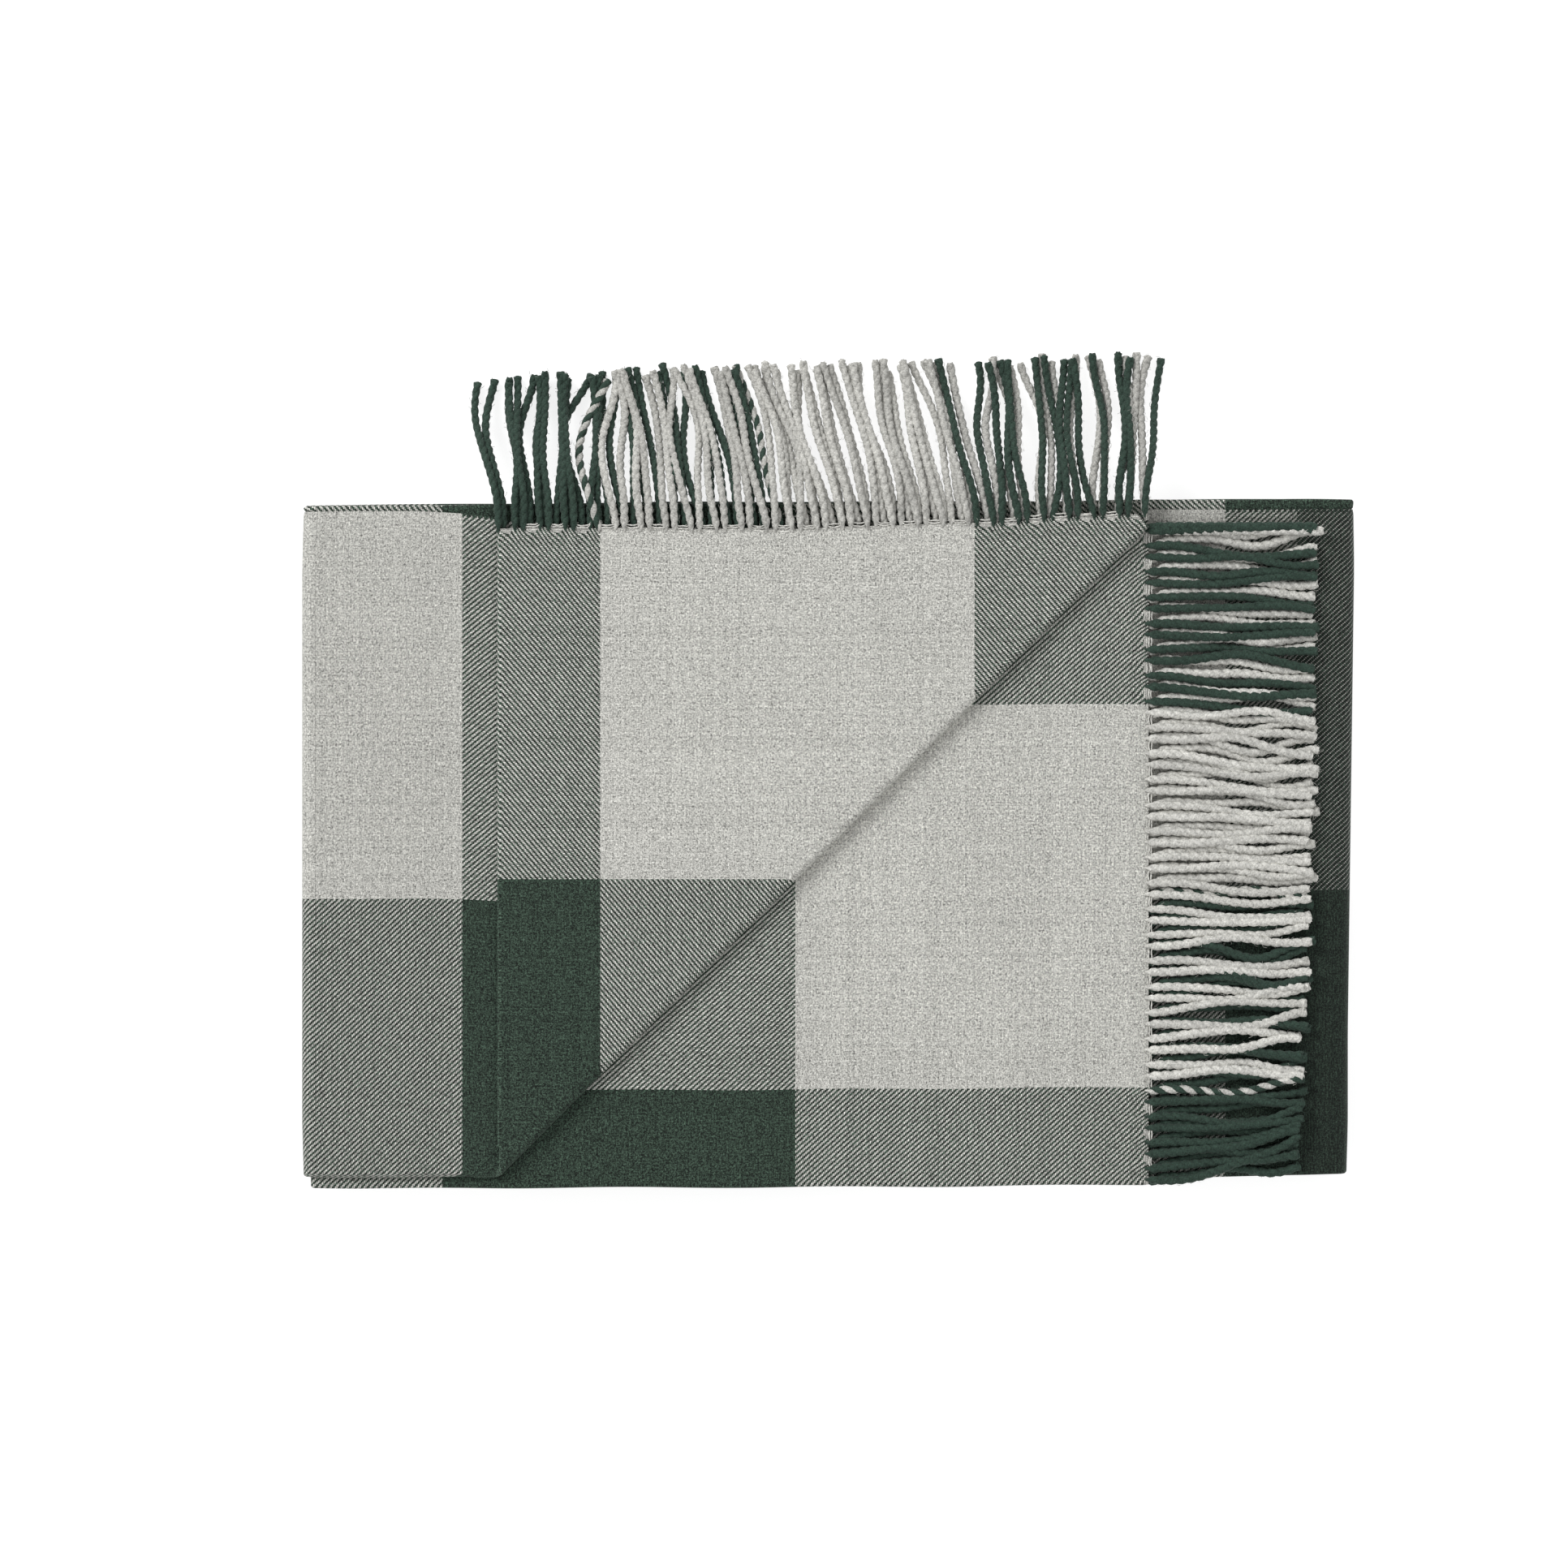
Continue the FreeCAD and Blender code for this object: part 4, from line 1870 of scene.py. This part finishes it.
        axis = {"Axis": (0.0, 0.0, 1.0), "Angle": g.wire(turn, 1)}
        spun_round = g.wire(g.node("FunctionNodeAxisAngleToRotation", None, axis))
        values = {0: g.wire(spread, "Rotation"), 1: spun_round}
        facing = g.wire(g.node("FunctionNodeRotateRotation", {"rotation_space": "LOCAL"}, values))
        size = g.node("FunctionNodeRandomValue", {"data_type": "FLOAT"}, {2: 0.5, 3: 1.35, "Seed": 6})
        values = {
            "Points": g.wire(spread, "Points"),
            "Instance": fibre,
            "Rotation": facing,
            "Scale": g.wire(size, 1),
        }
        return g.wire(g.node("GeometryNodeInstanceOnPoints", None, values))

    def spin(
        self, name: str, guide: bpy.types.Mesh, tree: bpy.types.NodeTree, sizes: dict[str, Number]
    ) -> bpy.types.Object:
        """Spin strands along lines and keep them as a plain mesh.

        Args:
            name: the piece's name.
            guide: the mesh of lines.
            tree: the tree to use.
            sizes: its inputs by name.

        Returns:
            The finished object at the origin.
        """
        carrier = to_object(name + "_carrier", guide)
        modifier = carrier.modifiers.new("spin", "NODES")
        modifier.node_group = tree
        for item in tree.interface.items_tree:
            if item.item_type == "SOCKET" and item.in_out == "INPUT" and item.name in sizes:
                modifier[item.identifier] = sizes[item.name]
        carrier.update_tag()
        depsgraph = bpy.context.evaluated_depsgraph_get()
        mesh = bpy.data.meshes.new_from_object(
            carrier.evaluated_get(depsgraph), preserve_all_data_layers=True, depsgraph=depsgraph
        )
        mesh.name = name
        carrier.modifiers.clear()
        bpy.data.objects.remove(carrier)
        return to_object(name, mesh)


# ---------------------------------------------------------------- the whole throw


@dataclass
class Throw:
    """The folded throw: its panels, folds, turned-back corner and fringe."""

    pile: PileFrame
    plan: ClothPlan
    settle: Settle
    cloth: bpy.types.Material
    spinner: Spinner

    def __post_init__(self) -> None:
        """Set out the places where the folds lie."""
        pile = self.pile
        self.lengthwise = Lengthwise(pile, self.plan)
        self.corner = Corner(pile, self.plan)
        back, front, inner = pile.back, pile.outer_front, pile.inner_front
        self.top_right = Station(153.0, -inner, back, -front + 2.0, pile.selvedge_4)
        self.upper_left = Station(160.4, -inner, back - 2.3, -front, pile.selvedge_4)
        self.right = Station(160.0, -inner + 1.9, back + 1.3, -front + 6.7, 162.0)
        self.lower_left = Station(158.0, -inner + 0.4, back - 1.4, -front + 2.4, 158.6)
        self.under_right = Station(159.4, -inner + 1.0, back - 0.4, -front + 5.4, 160.4)

    def sheet(
        self, name: str, grids: Sequence[SheetGrid], nodes: Sequence[str]
    ) -> bpy.types.Object:
        """Make one cloth piece that stands for design nodes.

        Args:
            name: the piece's name.
            grids: its pieces of cloth.
            nodes: the nodes that it stands for.

        Returns:
            The object.
        """
        mesh = cloth_mesh(name, grids, self.settle)
        mesh.materials.append(self.cloth)
        piece = to_object(name, mesh)
        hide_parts(*nodes)
        log.info("%s: %d faces", name, len(mesh.polygons))
        return piece

    def panel(self, name: str, lowest: int, order: Order, **more: Any) -> Panel:
        """One panel of the pile."""
        u_ends = self.lengthwise.ends[name]
        return Panel(self.pile, self.plan, name, lowest, order, u_ends=u_ends, **more)

    def fold(
        self, level: int, side: int, order: Order, station: Station, low: str, high: str
    ) -> SideFold:
        """One side fold of the pile.

        Args:
            level: the level of its axis.
            side: -1 for the left and 1 for the right.
            order: how the lower panel's plies are stacked.
            station: where the plies' edges lie.
            low: the lower panel.
            high: the upper panel.

        Returns:
            The fold.
        """
        end = 0 if side < 0 else 1
        ends = self.lengthwise.ends
        return SideFold(
            self.pile, self.plan, level, side, order, station, ends[low][end], ends[high][end]
        )


def panel_nodes(panel: str) -> list[str]:
    """The names of a panel's plies and crosswise bends."""
    plies = [f"{panel}_ply_{n}" for n in range(1, 5)]
    return plies + [f"{panel}_bend_{n}_{n + 1}" for n in range(1, 4)]


def fold_nodes(fold: str) -> list[str]:
    """The names of a side fold's four plies."""
    return [f"{fold}_ply_{n}" for n in range(1, 5)]


@dataclass
class Cloth:
    """The woven cloth of the throw, cut only where its pieces move apart."""

    throw: Throw

    def __post_init__(self) -> None:
        """Start without pieces."""
        self.pieces: dict[str, bpy.types.Object] = {}

    def add(self, name: str, grids: Sequence[SheetGrid], nodes: Sequence[str]) -> None:
        """Make one piece."""
        self.pieces[name] = self.throw.sheet(name, grids, nodes)

    def build_lower(self) -> None:
        """Make everything under the top panel."""
        throw, pile = self.throw, self.throw.pile
        up, down, reach = Order.FIRST_AT_BOTTOM, Order.FIRST_ON_TOP, pile.reach
        bottom = throw.panel(
            "bottom_panel", 0, up, left=throw.lower_left, right=throw.under_right,
            x_left=-reach, x_right=pile.under_end, free_right=True, step=11.0,
        )
        third = throw.panel(
            "third_panel", 4, down, left=throw.lower_left, right=throw.right,
            x_left=-reach, x_right=reach, step=11.0,
        )
        second = throw.panel(
            "second_panel", 8, up, left=throw.upper_left, right=throw.right,
            x_left=-reach, x_right=reach,
        )
        lower = throw.fold(4, -1, up, throw.lower_left, "bottom_panel", "third_panel")
        right = throw.fold(8, 1, down, throw.right, "third_panel", "second_panel")
        upper = throw.fold(12, -1, up, throw.upper_left, "second_panel", "top_panel")
        nodes = panel_nodes("bottom_panel") + panel_nodes("third_panel")
        nodes += fold_nodes("left_fold_lower")
        self.add("bottom_cloth", [bottom.grid(), lower.grid(), third.grid()], nodes)
        self.add("right_fold_cloth", [right.grid()], fold_nodes("right_fold"))
        self.add("second_panel_cloth", [second.grid()], panel_nodes("second_panel"))
        self.add("upper_left_fold_cloth", [upper.grid()], fold_nodes("left_fold_upper"))

    def build_top(self) -> None:
        """Make the top panel and its turned-back corner."""
        throw, pile, corner = self.throw, self.throw.pile, self.throw.corner
        selvedge = stations(
            (-247, 160.4), (-196, 160.2), (-174, 159.0), (-150, 156.2), (-110, 154.3), (154, 153.0)
        )
        top = throw.panel(
            "top_panel", 12, Order.FIRST_ON_TOP, left=throw.upper_left, right=throw.top_right,
            x_left=-pile.reach, x_right=pile.top_end, free_right=True, step=7.0, cut=corner.cut,
            first_edge=selvedge,
        )
        self.add("top_panel_cloth", [top.grid()], panel_nodes("top_panel"))
        nodes = ["corner_crease_ply_1", "corner_crease_ply_2"]
        self.add("corner_crease_cloth", [corner.crease()], nodes)
        nodes = ["corner_flap_ply_1", "corner_flap_ply_2", "corner_flap_bend_1_2"]
        self.add("corner_flap_cloth", [corner.flap()], nodes)

    def bend(self, name: str, low: str, high: str, x: float, level: int) -> None:
        """Bake the transform of a side fold's piece into its mesh; the fold is not bent between
        bodies.

        Args:
            name: the fold's piece.
            low: the body of its lower end; not used.
            high: the body of its upper end; not used.
            x: where its axis lies along the pile.
            level: the level of its axis.
        """
        z, span = self.throw.pile.seam(level), 3.5 * self.throw.pile.pitch
        start, end = (x * MM, 0.0, (z - span) * MM), (x * MM, 0.0, (z + span) * MM)
        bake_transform(self.pieces[name])

    def attach(self) -> None:
        """Attach the panel and flap pieces to their bodies, and bake the side folds and the crease in
        place.
        """
        pile, corner = self.throw.pile, self.throw.corner
        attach(self.pieces["bottom_cloth"], "base")
        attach(self.pieces["second_panel_cloth"], "second_panel")
        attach(self.pieces["top_panel_cloth"], "top_panel")
        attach(self.pieces["corner_flap_cloth"], "corner_flap")
        self.bend("right_fold_cloth", "base", "second_panel", pile.reach, 8)
        self.bend("upper_left_fold_cloth", "second_panel", "top_panel", -pile.reach, 12)
        low, high = pile.seam(16) - corner.band, pile.seam(16) + corner.band
        spot = (pile.top_end * MM, pile.flap_back * MM)
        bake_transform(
            self.pieces["corner_crease_cloth"], "top_panel", "corner_flap",
            start=(*spot, low * MM), end=(*spot, high * MM),
        )

    def declare(self, fringe: dict[str, bpy.types.Object]) -> None:
        """Work out each piece's flat size and area; nothing is done with them.

        Args:
            fringe: the fringe rows and hem threads by name; not used.
        """
        pile, corner, width = self.throw.pile, self.throw.corner, self.throw.plan.width * MM
        around = 11.0
        side, crease = corner.flat_side * MM, corner.flat_crease * MM
        flats = {
            "bottom_cloth": (pile.under_end + 3 * pile.reach + around, "floor"),
            "right_fold_cloth": (around, "bottom_cloth"),
            "second_panel_cloth": (2 * pile.reach, "bottom_cloth"),
            "upper_left_fold_cloth": (around, "second_panel_cloth"),
            "top_panel_cloth": (pile.top_end + pile.reach, "second_panel_cloth"),
            "corner_crease_cloth": (corner.flat_strip, "top_panel_cloth"),
            "corner_flap_cloth": (corner.flat_side, "top_panel_cloth"),
        }
        for name, (length, rests) in flats.items():
            flat, area = (width, length * MM), None
            if name == "top_panel_cloth":
                area = width * length * MM - side**2
            if name == "corner_flap_cloth":
                flat, area = (2 * side, side), side**2 * corner.flat_share
            if name == "corner_crease_cloth":
                flat = (2 * crease, length * MM)


@dataclass
class Fringe:
    """All the rows of the fringe, with the loose hem threads between their roots."""

    throw: Throw
    fall_from: float = 27.4
    fall: float = 27.1

    def __post_init__(self) -> None:
        """Lay out the three hems and the ends of the plies along them."""
        pile, plan = self.throw.pile, self.throw.plan
        self.pieces: dict[str, bpy.types.Object] = {}
        self.edges = plan.breaks(pile)
        bends = [self.edges[2 * ply + 1] + pile.turn / 2 for ply in range(3)]
        self.spans = list(zip([0.0, *bends], [*bends, plan.width]))
        self.flap_hem = Hem(
            False,
            self.throw.corner.hem,
            stations((-160, -8), (-140, -3), (-105, -3), (-80, -13), (-20, -17), (60, -19),
                     (85, -13), (105, -3), (140, 1), (150, 8), (156, 12)),
            stations((-160, 73), (-60, 78), (20, 80), (155, 78)),
        )
        self.top_hem = Hem(
            True,
            lambda h: np.full_like(h, pile.top_end),
            stations((-165, 7), (-100, 3), (-30, 0), (20, -4), (70, -5), (150, 1)),
            stations((-160, 75), (-90, 77), (-40, 80), (150, 81)),
        )
        self.under_hem = Hem(
            True,
            lambda h: np.full_like(h, pile.under_end),
            stations((-160, 1), (160, -1)),
            stations((-160, 79), (160, 80)),
        )

    def over_the_edge(self, out: np.ndarray) -> np.ndarray:
        """Height of what lies under the strands of the flap, down to the table."""
        return self.fall_from - self.fall * ease((out - 12.0) / 60.0)

    def on_second(self, out: np.ndarray) -> np.ndarray:
        """Height of the second panel, under the strands of the top panel."""
        return np.full_like(out, self.throw.pile.seam(12) - 0.15)

    def on_top(self, w: np.ndarray) -> np.ndarray:
        """Where a place across ply 3 lies along the hem of the top panel."""
        return 810.0 - w

    def flap_rows(self) -> list[FringeRow]:
        """The two rows of the turned-back corner, the lower one first.

        Returns:
            The rows.
        """
        pile, plan, corner = self.throw.pile, self.throw.plan, self.throw.corner
        cling = stations(
            (-160, 1.0), (-116, 0.95), (-98, 0.62), (60, 0.6), (82, 0.9), (155, 0.85)
        )
        apart = stations((-114, 0.0), (-98, 6.0), (-34, 6.0), (-14, 1.5), (60, 1.5), (80, 3.4))
        low, high = self.spans[1]
        # The flap's rows get pale below 1: painted shade on their light yarn.
        return [
            FringeRow("flap_fringe_under", "flap_fringe_ply_1", plan, self.flap_hem,
                      6.0, low, corner.along_first, pile.level(16), self.over_the_edge, 101,
                      drift_seed=212, bunches=Bunches(61, cling, apart), pale=0.80),
            FringeRow("flap_fringe_over", "flap_fringe_ply_2", plan, self.flap_hem,
                      low, high - 0.5, corner.along_second, pile.level(17), self.over_the_edge,
                      211, drift_seed=212, bunches=Bunches(61, cling), pale=0.82,
                      stray={8: (-9.0, 6.0), 47: (-6.0, -8.0), 44: (6.0, 2.0)}),
        ]

    def top_rows(self) -> list[FringeRow]:
        """The two rows of the top panel that are left in place, the lower one first.

        Returns:
            The rows.
        """
        pile, plan = self.throw.pile, self.throw.plan
        even = stations((-160, 0.5), (-115, 0.78), (-55, 0.78), (-30, 0.42), (100, 0.5), (155, 0.6))
        return [
            FringeRow("top_fringe_under", "top_fringe_ply_4", plan, self.top_hem,
                      *self.spans[3], lambda w: w - 1141.55, pile.level(12), self.on_second, 307,
                      pairing=0.85, sidestep=3.4, own_way=1.5, radius=2.3,
                      bunches=Bunches(71, even, stations((0.0, 5.0))), bounds=(-162.0, 150.0),
                      most_lift=6.0),
            FringeRow("top_fringe_over", "top_fringe_ply_3", plan, self.top_hem,
                      *self.spans[2], self.on_top, pile.level(13), self.on_second, 419,
                      pairing=0.85, own_way=1.6, radius=2.25, bunches=Bunches(71, even),
                      bounds=(-163.0, 152.0), most_lift=6.0,
                      stray={52: (-3.0, 20.0), 0: (-2.0, -15.0), 1: (2.0, 2.0)}),
        ]

    def bottom_rows(self) -> list[FringeRow]:
        """The four rows underneath the pile.

        Returns:
            The rows.
        """
        pile, plan, under = self.throw.pile, self.throw.plan, self.throw.under_right
        lines = under.row()[:, 0].tolist()
        rows = []
        for ply in range(4):
            ends, sides = self.edges[2 * ply : 2 * ply + 2], lines[ply : ply + 2]
            height = 0.15 + ply * 1.6
            rows.append(
                FringeRow(f"bottom_fringe_{ply + 1}", f"bottom_fringe_ply_{ply + 1}", plan,
                          self.under_hem, *self.spans[ply], stations(*zip(ends, sides)),
                          pile.level(ply), stations((0.0, height)), 503 + ply,
                          radius=1.0, wander=0.7, samples=24)
            )
        return rows

    def hem_threads(self) -> list[HemThreads]:
        """The loose threads at the two hems that are seen.

        Returns:
            The rows of threads.
        """
        pile, plan, corner = self.throw.pile, self.throw.plan, self.throw.corner
        low, high = self.spans[1]
        return [
            HemThreads("flap_hem_threads", plan, self.flap_hem, low, high - 8.0,
                       corner.along_second, 0.68, pile.level(17) + 0.5, 601),
            HemThreads("top_hem_threads", plan, self.top_hem, *self.spans[2],
                       self.on_top, 0.85, pile.level(13) + 0.5, 602),
        ]

    def spin(
        self, name: str, guide: bpy.types.Mesh, tree: bpy.types.NodeTree, sizes: dict[str, Number]
    ) -> bpy.types.Object:
        """Spin one piece.

        Args:
            name: the piece's name.
            guide: its centre lines.
            tree: the tree that spins it.
            sizes: the tree's inputs.

        Returns:
            The piece.
        """
        piece = self.throw.spinner.spin(name, guide, tree, sizes)
        self.pieces[name] = piece
        log.info("%s: %d faces", name, len(piece.data.polygons))
        return piece

    def build_rows(self, rows: Sequence[FringeRow], fine: bool) -> None:
        """Make the rows of one hem.

        Args:
            rows: the rows, from the lowest.
            fine: whether they are seen, so that they lie on each other and have loose fibres.
        """
        laid: list[np.ndarray] = []
        for row in rows:
            strands = row.lines(laid if fine else [])
            laid = laid + strands
            sizes: dict[str, Number] = {
                "Ply Radius": row.radius * 0.74 * MM,
                "Lay Radius": row.radius * 0.29 * MM,
                "Lay Length": row.pitch * MM,
                "Step": (1.6 if fine else 3.0) * MM,
                "Sides": 7 if fine else 5,
                "Fuzz Density": 44000.0 if fine else 0.0,
            }
            guide = row.guide(strands, self.throw.settle)
            piece = self.spin(row.name, guide, self.throw.spinner.two_ply, sizes)
            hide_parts(row.node)

    def build(self) -> None:
        """Make every row and the hem threads."""
        self.build_rows(self.flap_rows(), True)
        self.build_rows(self.top_rows(), True)
        self.build_rows(self.bottom_rows(), False)
        for threads in self.hem_threads():
            sizes = {"Ply Radius": 0.36 * MM, "Lay Radius": 0.12 * MM, "Lay Length": 4.0 * MM,
                     "Step": 0.8 * MM, "Sides": 5, "Fuzz Density": 60000.0}
            guide = threads.guide(self.throw.settle)
            self.spin(threads.name, guide, self.throw.spinner.single, sizes)

    def attach(self) -> None:
        """Give the flap's rows their own meshes and make every row move with its body."""
        pile = self.throw.pile
        under, inside = 16 * pile.pitch, pile.seam(16) - 1.4
        for name, height, keep in (
            ("flap_hem_threads", under, 0.5),
            ("flap_fringe_under", inside, 0.15),
            ("flap_fringe_over", inside, 0.15),
        ):
            anchor = (pile.top_end * MM, pile.flap_back * MM, height * MM)
            piece = self.pieces[name]
            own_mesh(piece)
        bodies = {"bottom": "base", "top": "top_panel", "flap": "corner_flap"}
        for name, piece in self.pieces.items():
            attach(piece, bodies[name.split("_")[0]])


# ---------------------------------------------------------------- the studio


@dataclass(frozen=True)
class SoftLamp:
    """A large soft lamp that faces the pile."""

    name: str
    place: tuple[float, float, float]
    size: float
    power: float

    def make(self) -> None:
        """Hang the lamp in the scene."""
        lamp = bpy.data.lights.new(self.name, "AREA")
        lamp.size, lamp.energy = self.size, self.power
        holder = bpy.data.objects.new(self.name, lamp)
        holder.location = self.place
        holder.rotation_mode = "QUATERNION"
        aim = -np.array(self.place)
        holder.rotation_quaternion = Vector(aim).to_track_quat("-Z", "Y")
        bpy.context.scene.collection.objects.link(holder)


def light_and_camera() -> None:
    """Set up the soft studio light and the camera straight above the pile."""
    scene = bpy.context.scene
    scene.view_settings.view_transform = "Standard"
    world = bpy.data.worlds.new("studio")
    world.use_nodes = True
    backdrop = world.node_tree.nodes["Background"]
    backdrop.inputs[0].default_value = (1.0, 1.0, 1.0, 1.0)
    backdrop.inputs[1].default_value = 0.62
    scene.world = world
    SoftLamp("key", (-1.9, 1.7, 2.1), 1.5, 62.0).make()
    SoftLamp("fill", (1.6, -1.2, 2.4), 2.4, 10.0).make()
    lens = bpy.data.cameras.new("camera")
    lens.lens, lens.sensor_width = 180.0, 36.0
    camera = bpy.data.objects.new("camera", lens)
    camera.location = (-0.0217, 0.0291, 3.80)
    scene.collection.objects.link(camera)
    scene.camera = camera


def main() -> None:
    """Build the throw in its frame."""
    logging.basicConfig(level=logging.INFO, format="%(message)s")
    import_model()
    pile, plan = PileFrame.read(), ClothPlan()
    light_and_camera()
    Floor().make()
    throw = Throw(
        pile, plan, Settle(), WovenCloth(plan).make(), Spinner(TwistedYarn().make())
    )
    cloth, fringe = Cloth(throw), Fringe(throw)
    cloth.build_lower()
    cloth.build_top()
    fringe.build()
    cloth.attach()
    fringe.attach()
    cloth.declare(fringe.pieces)


if __name__ == "__main__":
    main()
